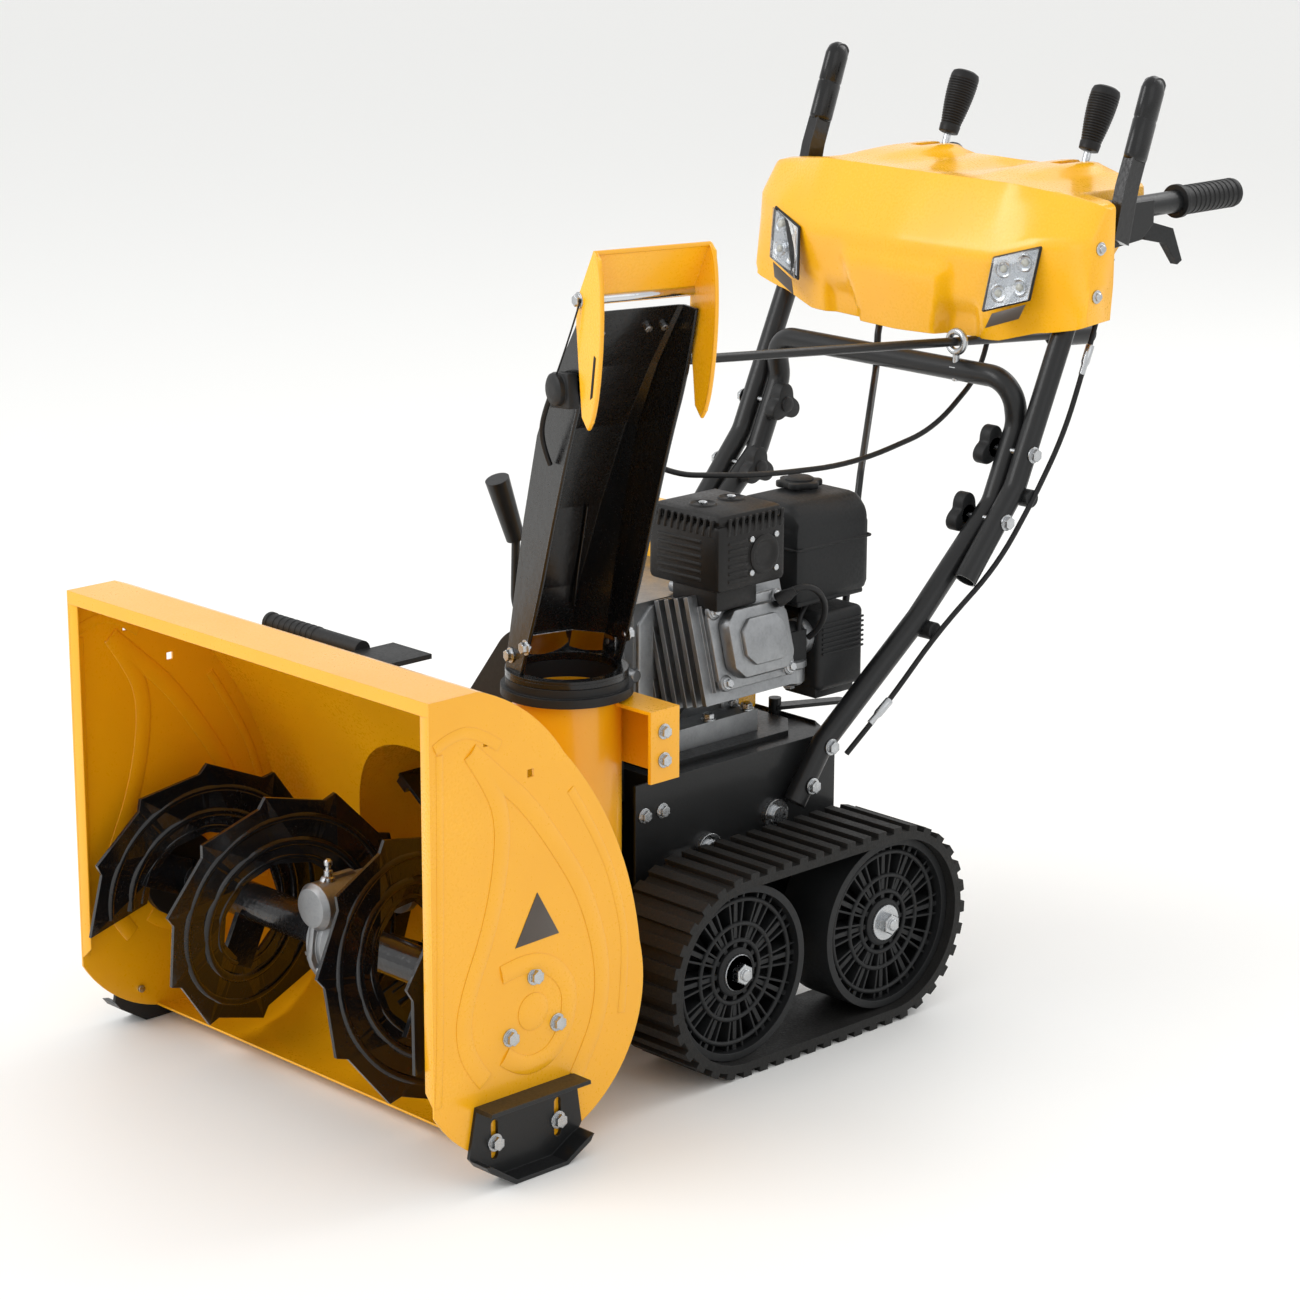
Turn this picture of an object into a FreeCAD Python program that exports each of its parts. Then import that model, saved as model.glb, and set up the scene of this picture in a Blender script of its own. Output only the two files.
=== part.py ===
import FreeCAD, Part
import math
import os

V = FreeCAD.Vector
X = V(1, 0, 0)
Y = V(0, 1, 0)
Z = V(0, 0, 1)

# Two stage snowblower on rubber tracks. Y is measured back from the front edge of the auger
# housing while the pieces are made, Z up from the floor, and +X is the operator's left.
# The finished pieces are moved forward by setback, so the origin ends under the middle of the box.

doc = FreeCAD.newDocument("snowblower")
sheet = doc.addObject("Spreadsheet::Sheet", "dims")

dimensions = [
    ("setback", 630.5), ("housing_half", 286), ("sheet", 2.5), ("housing_top", 492),
    ("auger_y", 126), ("auger_z", 158), ("auger_radius", 136), ("auger_shaft", 12.5),
    ("impeller_z", 200), ("impeller_shaft_radius", 10), ("drum_radius", 143), ("drum_back", 372),
    ("tube_x", 110), ("tube_y", 333), ("tube_radius", 56), ("tube_top", 402),
    ("crank_z", 385), ("belt_y", 396), ("belt_width", 12), ("large_pulley", 88), ("small_pulley", 36),
    ("frame_half", 150), ("frame_front", 426), ("frame_back", 690), ("frame_top", 296), ("frame_bottom", 135),
    ("track_inner", 170), ("track_outer", 272), ("track_radius", 110),
    ("idler_y", 437), ("drive_y", 660), ("wheel_z", 110), ("wheel_radius", 94), ("axle_radius", 9),
    ("tube_wall", 2), ("handle_radius", 12.5), ("lower_x", 182), ("upper_x", 210),
    ("grip_z", 829), ("grip_radius", 16), ("chute_turn", 75), ("chute_half", 57), ("chute_sheet", 2.5),
    ("skid_plate", 4), ("skid_wide", 26), ("rod_radius", 5), ("cable_radius", 3),
]
for row, (alias, value) in enumerate(dimensions, start=1):
    sheet.set("A%d" % row, alias.replace("_", " "))
    sheet.set("B%d" % row, str(value))
    sheet.setAlias("B%d" % row, alias)
doc.recompute()

subparts = {}


def size(alias):
    return float(sheet.get(alias))


def bind(item, **expressions):
    for name, expression in expressions.items():
        item.setExpression(name, expression)


def turned(axis):
    return FreeCAD.Rotation(Z, axis)


def cylinder(radius, length, base, axis=Z):
    item = doc.addObject("Part::Cylinder", "cylinder")
    bind(item, Radius=str(radius), Height=str(length))
    item.Placement = FreeCAD.Placement(base, turned(axis))
    return item


def cone(low, high, length, base, axis=Z):
    item = doc.addObject("Part::Cone", "cone")
    bind(item, Radius1=str(low), Radius2=str(high), Height=str(length))
    item.Placement = FreeCAD.Placement(base, turned(axis))
    return item


def box(corner, long, wide, tall):
    item = doc.addObject("Part::Box", "box")
    bind(item, Length=str(long), Width=str(wide), Height=str(tall))
    item.Placement.Base = corner
    return item


def hexagon(radius, length, base, axis=Z):
    item = doc.addObject("Part::Prism", "hexagon")
    bind(item, Circumradius=str(radius), Height=str(length))
    item.Placement = FreeCAD.Placement(base, turned(axis))
    return item


def united(pieces, name="united"):
    item = doc.addObject("Part::MultiFuse", name)
    item.Shapes = pieces
    return item


def less(base, tools, name="less"):
    item = doc.addObject("Part::Cut", name)
    item.Base = base
    item.Tool = tools[0] if len(tools) == 1 else united(tools)
    return item


def rounded(base, radius, name="rounded", edges=None):
    doc.recompute()
    item = doc.addObject("Part::Fillet", name)
    item.Base = base
    numbers = edges or range(1, len(base.Shape.Edges) + 1)
    item.Edges = [(number, radius, radius) for number in numbers]
    return item


def mirrored(source, name="mirrored"):
    item = doc.addObject("Part::Mirroring", name)
    item.Source = source
    item.Base = V(0, 0, 0)
    item.Normal = X
    return item


def shaped(shape, name="shaped"):
    item = doc.addObject("Part::Feature", name)
    item.Shape = shape
    return item


def keep(label, item):
    item.Label = label
    subparts[label] = item
    return item


def group(label, items):
    if len(items) == 1:
        return keep(label, items[0])
    item = doc.addObject("Part::Compound", label)
    item.Links = items
    return keep(label, item)


def add_outline(sketch, outline):
    """An outline is its first point, then points (a line) or pairs of points (an arc)."""
    here = outline[0]
    for step in list(outline[1:]) + [outline[0]]:
        if isinstance(step[0], tuple):
            middle, there = step
            sketch.addGeometry(Part.Arc(V(*here, 0), V(*middle, 0), V(*there, 0)))
        else:
            there = step
            if math.dist(here, there) > 0.01:
                sketch.addGeometry(Part.LineSegment(V(*here, 0), V(*there, 0)))
        here = there


def drawn(body, role, offset, outlines, circles=()):
    sketch = body.newObject("Sketcher::SketchObject", "outline")
    origin = [feature for feature in body.Origin.OriginFeatures if feature.Role == role][0]
    sketch.AttachmentSupport = [(origin, "")]
    sketch.MapMode = "FlatFace"
    sketch.AttachmentOffset = FreeCAD.Placement(V(0, 0, offset), FreeCAD.Rotation())
    for outline in outlines:
        add_outline(sketch, outline)
    for centre, radius in circles:
        sketch.addGeometry(Part.Circle(V(*centre, 0), Z, radius))
    return sketch


def plate(role, offset, thickness, outline, circles=(), windows=(), name="plate"):
    """A flat sheet from a sketch. The pad runs along +X for YZ, -Y for XZ and +Z for XY."""
    body = doc.addObject("PartDesign::Body", name)
    sketch = drawn(body, role, offset, [outline] + list(windows), circles)
    pad = body.newObject("PartDesign::Pad", "pad")
    pad.Profile = sketch
    pad.setExpression("Length", str(thickness))
    return body


def rounded_wire(points, bend=None):
    """Straight runs joined by tangent arcs; without a radius each arc is as large as its runs allow."""
    edges = []
    start = points[0]
    for before, corner, after in zip(points, points[1:], points[2:]):
        run_in = corner - before
        run_out = after - corner
        half = run_in.getAngle(run_out) / 2
        radius = bend or 0.45 * min(run_in.Length, run_out.Length) / math.tan(half)
        run_in.normalize()
        run_out.normalize()
        inward = (run_out - run_in).normalize()
        entry = corner - run_in * (radius * math.tan(half))
        leave = corner + run_out * (radius * math.tan(half))
        middle = corner + inward * (radius / math.cos(half) - radius)
        edges.append(Part.LineSegment(start, entry).toShape())
        edges.append(Part.Arc(entry, middle, leave).toShape())
        start = leave
    edges.append(Part.LineSegment(start, points[-1]).toShape())
    return Part.Wire(edges)


def swept(points, radius, bend=None):
    path = rounded_wire(points, bend)
    ring = Part.Wire([Part.makeCircle(radius, points[0], points[1] - points[0])])
    shape = path.makePipeShell([ring], True, True)
    shape.fix(0.01, 0.01, 0.01)
    if shape.Volume < 0:
        shape.reverse()
    expected = math.pi * radius ** 2 * path.Length
    if abs(shape.Volume - expected) > 0.02 * expected:
        print("tube volume off", shape.Volume, expected)
    return shape


def hollow(points, radius, bend):
    return swept(points, radius, bend).cut(swept(points, radius - size("tube_wall"), bend))


def bolt(base, axis, reach, across=7, head=6, shank=4):
    """Hexagon head standing on base along axis, and a shank of the given reach behind it."""
    washer = cylinder(across + 2, 1.5, base, axis)
    crown = hexagon(across, head, base + axis * 1.4, axis)
    stem = cylinder(shank, reach, base - axis * reach, axis)
    return united([washer, crown, stem])


# ---------------------------------------------------------------- auger housing
AUGER = V(0, size("auger_y"), size("auger_z"))


def side_outline():
    """Side plate seen from the operator's left: straight front, rounded back and foot."""
    y, z = size("auger_y"), size("auger_z")
    radius = 147
    front = math.pi + math.asin(76 / radius)
    back = math.radians(14.6)
    foot = (y, z - radius)
    start = (y + radius * math.cos(back), z + radius * math.sin(back))
    finish = (0, z + radius * math.sin(front))
    return [(0, size("housing_top")), (60, size("housing_top")), ((116, 464), (168, 411)),
            ((235, 312), start), (((y + radius * math.cos(-0.66)), z + radius * math.sin(-0.66)), foot),
            ((y + radius * math.cos(-2.15), z + radius * math.sin(-2.15)), finish)]


def side_plates():
    y, z = size("auger_y"), size("auger_z")
    squares = []
    for centre in ((70, 441), (125, 399)):
        a, b = centre
        squares.append([(a - 4, b - 4), (a + 4, b - 4), (a + 4, b + 4), (a - 4, b + 4)])
    left = plate("YZ_Plane", size("housing_half") - size("sheet"), "dims.sheet", side_outline(),
                 [((y, z), size("auger_shaft") + 1)], squares, "side_plate")
    group("side_plates", [left, mirrored(left)])


def wrap_face():
    edges = []
    outline = side_outline()
    here = outline[0]
    for step in outline[1:] + [outline[0]]:
        if isinstance(step[0], tuple):
            middle, there = step
            edges.append(Part.Arc(V(0, *here), V(0, *middle), V(0, *there)).toShape())
        else:
            there = step
            edges.append(Part.LineSegment(V(0, *here), V(0, *there)).toShape())
        here = there
    return Part.Face(Part.Wire(edges))


def auger_housing():
    half = size("housing_half") - size("sheet")
    outer = wrap_face()
    inner = outer.makeOffset2D(-size("sheet"))
    outer.translate(V(-half, 0, 0))
    inner.translate(V(-half, 0, 0))
    shell = outer.extrude(V(2 * half, 0, 0)).cut(inner.extrude(V(2 * half, 0, 0)))
    mouth = Part.makeBox(2 * half, 98, 478 - 5, V(-half, -5, 5))
    drum_hole = Part.makeCylinder(size("drum_radius") - size("sheet"), 300, V(0, 150, size("impeller_z")), Y)
    keep("auger_housing", shaped(shell.cut(mouth).cut(drum_hole), "auger_housing"))


def impeller_drum():
    """Drum behind the housing with the round discharge tube rising from its left side."""
    z = size("impeller_z")
    outer = size("drum_radius")
    back = size("drum_back")
    tube = V(size("tube_x"), size("tube_y"), 0)
    half = size("housing_half")
    bucket = wrap_face()
    bucket.translate(V(-half, 0, 0))
    bucket = bucket.extrude(V(2 * half, 0, 0))
    drum = Part.makeCylinder(outer, back - 150, V(0, 150, z), Y).cut(bucket)
    riser = Part.makeCylinder(size("tube_radius"), size("tube_top") - z + 30, tube + Z * (z - 30))
    solid = drum.fuse(riser)
    room = Part.makeCylinder(outer - size("sheet"), back - 150 - size("sheet"), V(0, 150, z), Y)
    flue = Part.makeCylinder(size("tube_radius") - size("sheet"), 400, tube + Z * (z - 26))
    bore = Part.makeCylinder(size("impeller_shaft_radius") + 0.5, 60, V(0, back - 30, z), Y)
    keep("impeller_drum", shaped(solid.cut(room).cut(flue).cut(bore).removeSplitter(), "impeller_drum"))


def tube_ring():
    base = V(size("tube_x"), size("tube_y"), size("tube_top"))
    low = cylinder("dims.tube_radius + 12", 9, base)
    high = cylinder("dims.tube_radius + 7", 18, base)
    hole = cylinder("dims.tube_radius - dims.sheet", 40, base - Z * 5)
    keep("tube_ring", less(united([low, high]), [hole]))


def tube_bracket():
    """Folded U bracket behind the tube that steadies it against the frame."""
    web = box(V(118, 386, 322), 98, 4, 76)
    near = box(V(212, 350, 322), 4, 40, 76)
    lip = box(V(150, 350, 394), 66, 40, 4)
    gap = cylinder("dims.tube_radius", 300, V(size("tube_x"), size("tube_y"), 200))
    keep("tube_bracket", less(united([web, near, lip]), [gap]))


def scraper_bar():
    half = size("housing_half") - size("sheet")
    keep("scraper_bar", box(V(-half, 128, 5), 2 * half, 40, 5.9))


def skids():
    plate_out = size("housing_half")
    outline = [(40, 30), (48, 20), (80, 0), (148, 0), (178, 16), (186, 28), (178, 80), (50, 80)]
    inside = [(10, 34), (50, 26), (82, 4), (146, 4), (174, 20), (220, 36), (220, 76), (10, 76)]
    slots = []
    for y in (72, 154):
        slots.append([(y - 4.5, 26), ((y, 21.5), (y + 4.5, 26)), (y + 4.5, 58), ((y, 62.5), (y - 4.5, 58))])
    body = plate("YZ_Plane", plate_out, "dims.skid_wide", outline, (), slots, "skid")
    pocket = body.newObject("PartDesign::Pocket", "channel")
    pocket.Profile = drawn(body, "YZ_Plane", plate_out + size("skid_wide"), [inside])
    pocket.setExpression("Length", "dims.skid_wide - dims.skid_plate")
    group("skids", [body, mirrored(body)])


def housing_bolts():
    face = size("housing_half")
    bolts = [bolt(V(face, y, z), X, 6) for y, z in ((128, 194), (157, 139), (96, 139))]
    bolts += [bolt(V(face + size("skid_plate"), y, 39), X, 10) for y in (72, 154)]
    group("housing_bolts", bolts + [mirrored(item) for item in bolts])


def auger_bearings():
    inside = size("housing_half") - size("sheet")
    disc = cylinder(46, 9, AUGER + X * (inside - 9), X)
    bore = cylinder("dims.auger_shaft + 0.4", 40, AUGER + X * (inside - 20), X)
    bearing = less(disc, [bore])
    group("auger_bearings", [bearing, mirrored(bearing)])


# ---------------------------------------------------------------- rotors
def ribbon(inner, outer, turns, height):
    """Faceted helical ribbon, 4 thick, whose outer edge is cut into ten teeth a turn."""
    rows = []
    teeth = round(10 * turns)
    for number in range(teeth):
        for share, radius in ((0, outer - 10), (0.88, outer)):
            along = (number + share) / teeth
            ray = V(math.cos(2 * math.pi * turns * along), math.sin(2 * math.pi * turns * along), 0)
            rise = Z * along * height
            rows.append([ray * inner + rise, ray * radius + rise, ray * radius + rise + Z * 4,
                         ray * inner + rise + Z * 4])
    faces = [Part.Face(Part.makePolygon(row + row[:1])) for row in (rows[0], rows[-1])]
    for near, far in zip(rows, rows[1:]):
        for corner in range(4):
            a, b = near[corner], near[(corner + 1) % 4]
            c, d = far[(corner + 1) % 4], far[corner]
            faces.append(Part.Face(Part.makePolygon([a, b, c, a])))
            faces.append(Part.Face(Part.makePolygon([a, c, d, a])))
    solid = Part.makeSolid(Part.makeShell(faces))
    if solid.Volume < 0:
        solid.reverse()
    return solid


def flight(start, finish, turns, lead_in):
    """Toothed ribbon of the given length along X, with its inner hub and three arms."""
    inner = 60
    height = finish - start
    hub = Part.makeCylinder(20, height + 4).cut(Part.makeCylinder(size("auger_shaft"), height + 4))
    arms = []
    for part in (0.07, 0.5, 0.93):
        arm = Part.makeBox(inner + 8 - 15, 40, 6, V(15, -20, part * height - 1))
        arm.rotate(V(0, 0, 0), Z, 360 * turns * part)
        arms.append(arm.cut(Part.makeCylinder(size("auger_shaft") + 2, height + 4)))
    whole = hub.fuse([ribbon(inner, size("auger_radius"), turns, height)] + arms)
    whole.rotate(V(0, 0, 0), Z, lead_in)
    whole.rotate(V(0, 0, 0), Y, 90)
    whole.translate(AUGER + X * start)
    return whole


def augers():
    right = shaped(flight(30, 262, 1.75, 20), "auger_left")
    keep("auger_left", right)
    keep("auger_right", mirrored(right))


def auger_shaft():
    """Cross shaft with the bronze worm wheel that the gearbox turns."""
    reach = size("housing_half") - 4
    shaft = cylinder("dims.auger_shaft", 2 * reach, AUGER - X * reach, X)
    wheel = cylinder(28, 16, AUGER - X * 8, X)
    hole = cylinder("dims.auger_shaft", 40, AUGER - X * 20, X)
    notches = []
    for step in range(12):
        angle = math.radians(30 * step)
        spot = AUGER + Y * (29 * math.cos(angle)) + Z * (29 * math.sin(angle))
        notches.append(cylinder(3, 40, spot - X * 20, X))
    group("auger_shaft", [shaft, less(wheel, [hole] + notches)])


def auger_gearbox():
    z = size("impeller_z")
    worm = V(0, 84, z)
    outer = [cylinder(41, 34, AUGER - X * 17, X), cylinder(24, 116, worm, Y),
             cylinder(47, 6, AUGER - X * 3, X), cylinder(30, 8, worm + Y * 108, Y),
             box(V(-12, 100, 175), 24, 60, 40), cylinder(20, 60, AUGER - X * 30, X)]
    inner = [cylinder(33, 24, AUGER - X * 12, X), cylinder(17, 104, worm + Y * 6, Y),
             cylinder("dims.auger_shaft + 0.4", 80, AUGER - X * 40, X),
             cylinder("dims.impeller_shaft_radius + 0.4", 60, worm + Y * 90, Y)]
    nipple = [cylinder(5, 17, V(0, 101, 224)), hexagon(7, 5, V(0, 101, 226)), cone(3, 4.5, 8, V(0, 101, 241))]
    group("auger_gearbox", [less(united(outer), inner), united(nipple)])


def impeller():
    """Four bladed steel fan that throws the snow up the tube."""
    axis = V(0, 0, size("impeller_z"))
    hub = cylinder(24, 70, axis + Y * 286, Y)
    disc = cylinder(70, 4, axis + Y * 352, Y)
    blades = []
    for quarter in range(4):
        blade = box(V(0, 290, 0), 130, 66, 4)
        tip = box(V(112, 290, 0), 16, 66, 12)
        paddle = united([blade, tip])
        paddle.Placement = FreeCAD.Placement(axis, FreeCAD.Rotation(Y, 90 * quarter + 35))
        blades.append(paddle)
    bore = cylinder("dims.impeller_shaft_radius", 200, axis + Y * 250, Y)
    keep("impeller", less(united([hub, disc] + blades), [bore]))


def pulley(radius, centre, bore):
    rims = []
    for side in (-1, 1):
        low, high = (radius, radius - 5) if side < 0 else (radius - 5, radius)
        rims.append(cone(low, high, 8, centre + Y * (-8 if side < 0 else 0), Y))
    return less(united(rims), [cylinder(bore, 60, centre - Y * 30, Y)])


def impeller_shaft():
    """Shaft from the worm in the gearbox, through the impeller, to the large belt pulley."""
    axis = V(0, 0, size("impeller_z"))
    shaft = cylinder("dims.impeller_shaft_radius", 318, axis + Y * 92, Y)
    worm = cylinder(13, 60, axis + Y * 96, Y)
    wheel = pulley(size("large_pulley"), axis + Y * size("belt_y"), size("impeller_shaft_radius"))
    group("impeller_shaft", [united([shaft, worm]), wheel])


def crankshaft():
    axis = V(0, 0, size("crank_z"))
    wheel = pulley(size("small_pulley"), axis + Y * size("belt_y"), 11)
    group("crankshaft", [cylinder(11, 98, axis + Y * 386, Y), wheel])


def drive_belt():
    """V belt round both pulleys, a closed loop of tangent runs."""
    low = V(0, size("belt_y") - size("belt_width") / 2, size("impeller_z"))
    high = V(0, low.y, size("crank_z"))
    loops = []
    for extra in (0.4, 8):
        big = size("large_pulley") + extra
        small = size("small_pulley") + extra
        span = size("crank_z") - size("impeller_z")
        lean = math.asin((big - small) / span)
        side = V(math.cos(lean), 0, math.sin(lean))
        other = V(-side.x, 0, side.z)
        edges = [Part.LineSegment(low + side * big, high + side * small).toShape(),
                 Part.Arc(high + side * small, high + Z * small, high + other * small).toShape(),
                 Part.LineSegment(high + other * small, low + other * big).toShape(),
                 Part.Arc(low + other * big, low - Z * big, low + side * big).toShape()]
        loops.append(Part.Face(Part.Wire(edges)).extrude(V(0, size("belt_width"), 0)))
    keep("drive_belt", shaped(loops[1].cut(loops[0]), "drive_belt"))


def belt_cover():
    """Black plastic cover over the belt, from the engine's front to the drum."""
    outline = [(-112, 262), (-104, 340), (-50, 410), ((0, 436), (50, 410)), (96, 340), (100, 262)]
    outer = plate("XZ_Plane", -424, "44", outline, name="belt_cover")
    inside = [(-108, 250), (-100, 339), (-48, 406), ((0, 432), (48, 406)), (92, 339), (96, 250)]
    room = plate("XZ_Plane", -430, "46", inside, name="cover_room")
    gap = cylinder("dims.tube_radius + 13", 300, V(size("tube_x"), size("tube_y"), 200))
    keep("belt_cover", less(outer, [room, gap]))


# ------------------------------------------------------- chute, made facing forward about its own axis
def chute_section(height, back, flat, corner, front):
    """Level section of the folded sheet: flat back, a slanted facet each side, and side walls."""
    half = size("chute_half")
    thick = size("chute_sheet")
    right = [V(half, -front, height), V(half, -corner, height), V(flat, -back, height)]
    inner = [V(flat - 1, -back - thick, height), V(half - thick, -corner - 1, height),
             V(half - thick, -front, height)]
    ring = right + [V(-point.x, point.y, point.z) for point in reversed(right)]
    ring += [V(-point.x, point.y, point.z) for point in reversed(inner)] + inner
    return Part.makePolygon(ring + ring[:1])


def turn_to_rest(item):
    spot = V(size("tube_x"), size("tube_y"), size("tube_top") + 18.5)
    item.Placement = FreeCAD.Placement(spot, FreeCAD.Rotation(Z, size("chute_turn")))
    return item


def chute():
    """Folded steel chute: curved back and two side walls, open to the front."""
    sections = [(5.5, -56, 28, -26, 6), (82, -36, 32, -6, 44), (172, -6, 42, 18, 78),
                (262, 36, 48, 48, 114), (332, 84, 50, 90, 148), (397, 137, 51, 141, 166)]
    body = Part.makeLoft([chute_section(*section) for section in sections], True, True)
    flange = Part.makeCylinder(63, 3, V(0, 0, 5.2))
    flange = flange.cut(Part.makeCylinder(size("tube_radius") - 4, 30, V(0, 0, -5)))
    keep("chute", turn_to_rest(shaped(body.fuse(flange), "chute")))


def chute_collar():
    """Turning ring under the chute, with eight flats."""
    ring = cylinder(63, 5, V(0, 0, 0.2))
    hole = cylinder("dims.tube_radius - dims.sheet", 30, V(0, 0, -5))
    keep("chute_collar", turn_to_rest(less(ring, [hole])))


def chute_fasteners():
    """Rivets at the top of the chute and bolts at its foot."""
    pieces = []
    for x in (-44, -26, 26, 44):
        pieces.append(cylinder(4, 6, V(x, -120, 376), V(0, -0.78, -0.62)))
    for side in (-1, 1):
        for y, z in ((12, 24), (-22, 40)):
            pieces.append(bolt(V(57 * side, y, z), X * side, 4, 6, 5, 3))
    joined = doc.addObject("Part::Compound", "chute_fasteners")
    joined.Links = pieces
    keep("chute_fasteners", turn_to_rest(joined))


def deflector():
    """Hood hinged on the top edge of the chute, with a side arm each way."""
    outline = [(-144, 408), (-180, 462), (-190, 456), (-194, 400), (-188, 345), (-175, 298), (-165, 290),
               (-154, 300), (-148, 345), (-143, 388)]
    wide = 126
    thick = size("chute_sheet")
    sides = []
    for side in (-1, 1):
        at = wide / 2 - thick if side > 0 else -wide / 2
        sides.append(plate("YZ_Plane", at, "dims.chute_sheet", outline, name="hood_side"))
    top = [(-142, 407), (-178, 463), (-180.5, 461.5), (-144.5, 405.5)]
    roof = plate("YZ_Plane", -wide / 2, "126", top, name="hood_roof")
    rod = cylinder(4, 126, V(-wide / 2, -149, 412), X)
    keep("deflector", turn_to_rest(united(sides + [roof, rod])))


# ---------------------------------------------------------------- frame and tracks
def frame_box():
    """Pressed steel transmission housing: two sides, top and ends, open below."""
    half = size("frame_half")
    front, back = size("frame_front"), size("frame_back")
    top, bottom = size("frame_top"), size("frame_bottom")
    outer = box(V(-half, front - 34, bottom), 2 * half, back - front + 34, top - bottom)
    inner = box(V(-half + 3, front + 3, bottom - 1), 2 * half - 6, back - front - 6, top - bottom - 2)
    bay = box(V(-half + 3, front - 40, bottom - 1), 2 * half - 6, 40, top - bottom + 2)
    group("frame_box", [less(outer, [inner, bay]), rear_flap()])


def frame_bolts():
    half = size("frame_half")
    pieces = []
    for y, z in ((495, 206), (595, 222)):
        pieces.append(united([cylinder(17, 6, V(half, y, z), X), cylinder(10, 11, V(half, y, z), X)]))
    for y, z in ((404, 262), (430, 262)):
        pieces.append(bolt(V(half, y, z), X, 2.9, 6, 5, 3))
    bracket = [bolt(V(216, 368, z), X, 10, 6, 5, 3) for z in (345, 375)]
    group("frame_bolts", pieces + [mirrored(item) for item in pieces] + bracket)


def engine_plate():
    top = size("frame_top")
    outline = [(-128, 440), (128, 440), (128, 640), (96, 672), (-96, 672), (-128, 640)]
    keep("engine_plate", plate("XY_Plane", top, "5", outline, name="engine_plate"))


def rear_flap():
    outline = [(690, 250), (704, 262), (704, 288), (690, 300), (690, 294), (700, 286), (700, 264), (690, 256)]
    return plate("YZ_Plane", -120, "240", outline, name="rear_flap")


def stadium(radius):
    """Track outline round both wheels, flat above and below."""
    y1, y2, z = size("idler_y"), size("drive_y"), size("wheel_z")
    return [(y1, z - radius), (y2, z - radius), ((y2 + radius, z), (y2, z + radius)),
            (y1, z + radius), ((y1 - radius, z), (y1, z - radius))]


def track(name):
    inner_edge = size("track_inner")
    width = size("track_outer") - inner_edge
    outer = size("track_radius") - 6
    band = plate("YZ_Plane", inner_edge, "dims.track_outer - dims.track_inner", stadium(outer),
                 (), [stadium(outer - 9)], "track_band")
    y1, y2, z = size("idler_y"), size("drive_y"), size("wheel_z")
    run = y2 - y1
    around = 2 * run + 2 * math.pi * outer
    count = 46
    lugs = []
    for number in range(count):
        along = number * around / count
        lug = box(V(inner_edge, -6, -1.5), width, 12, 7.5)
        if along < run:
            spot, angle = V(0, y1 + along, z - outer), 180
        elif along < run + math.pi * outer:
            angle = 180 + math.degrees((along - run) / outer)
            spot = V(0, y2 - outer * math.sin(math.radians(angle)), z + outer * math.cos(math.radians(angle)))
        elif along < 2 * run + math.pi * outer:
            spot, angle = V(0, y2 - (along - run - math.pi * outer), z + outer), 0
        else:
            angle = math.degrees((along - 2 * run - math.pi * outer) / outer)
            spot = V(0, y1 - outer * math.sin(math.radians(angle)), z + outer * math.cos(math.radians(angle)))
        turn = FreeCAD.Placement(spot, FreeCAD.Rotation(X, angle))
        lug.Placement = turn * lug.Placement
        lugs.append(lug)
    return united([band] + lugs, name)


def tracks():
    left = track("track_left")
    keep("track_left", left)
    keep("track_right", mirrored(left))


def wheel(y, spokes):
    """Open moulded wheel: rim, hub and radial spokes."""
    face = size("track_outer") - 12
    width = 70
    z = size("wheel_z")
    centre = V(face - width, y, z)
    rim = less(cylinder("dims.wheel_radius", width, centre, X),
               [cylinder("dims.wheel_radius - 8", width + 2, centre - X, X)])
    web = cylinder("dims.wheel_radius - 4", 5, centre + X * 28, X)
    hub = cylinder(24, width - 4, centre, X)
    bars = []
    for number in range(spokes):
        bar = box(V(centre.x, 18, -2.5), width - 8, size("wheel_radius") - 24, 5)
        turn = FreeCAD.Placement(V(0, y, z), FreeCAD.Rotation(X, 360 * number / spokes))
        bar.Placement = turn * bar.Placement
        bars.append(bar)
    bore = cylinder("dims.axle_radius + 0.5", 300, V(centre.x - 50, y, z), X)
    return less(united([rim, web, hub] + bars), [bore])


def drive_stub():
    """Drive stub axle with washer and nut, turning with its wheel."""
    y, z = size("drive_y"), size("wheel_z")
    hub_face = size("track_outer") - 16
    return united([cylinder("dims.axle_radius", hub_face - 130, V(130, y, z), X),
                   cylinder(19, 2, V(hub_face, y, z), X), hexagon(11, 9, V(hub_face + 2, y, z), X)])


def wheels():
    idler = wheel(size("idler_y"), 12)
    driver = wheel(size("drive_y"), 12)
    stub = drive_stub()
    keep("idler_wheel_left", idler)
    keep("idler_wheel_right", mirrored(idler))
    group("drive_wheel_left", [driver, stub])
    group("drive_wheel_right", [mirrored(driver), mirrored(stub)])


def idler_axle():
    """Fixed rod through both idler wheels, with a washer and nut at each end."""
    y, z = size("idler_y"), size("wheel_z")
    hub_face = size("track_outer") - 16
    rod = cylinder("dims.axle_radius", 2 * hub_face, V(-hub_face, y, z), X)
    ends = []
    for side in (-1, 1):
        ends.append(cylinder(19, 2, V(side * (hub_face + 0.4), y, z), X * side))
        ends.append(hexagon(11, 9, V(side * (hub_face + 1), y, z), X * side))
        ends.append(cylinder("dims.axle_radius", 8, V(side * (hub_face - 4), y, z), X * side))
    return united([rod] + ends)


def track_frames():
    """Side beam inside each track that carries both axles and is bolted under the box."""
    z = size("wheel_z")
    y1, y2 = size("idler_y"), size("drive_y")
    outline = [(y1 - 30, z - 22), (y2 + 30, z - 22), (y2 + 30, z + 40), (y1 - 30, z + 40)]
    holes = [((y1, z), size("axle_radius")), ((y2, z), size("axle_radius") + 0.5)]
    left = plate("YZ_Plane", size("frame_half"), "6", outline, holes, name="track_frame")
    group("track_frames", [left, mirrored(left), idler_axle()])


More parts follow.
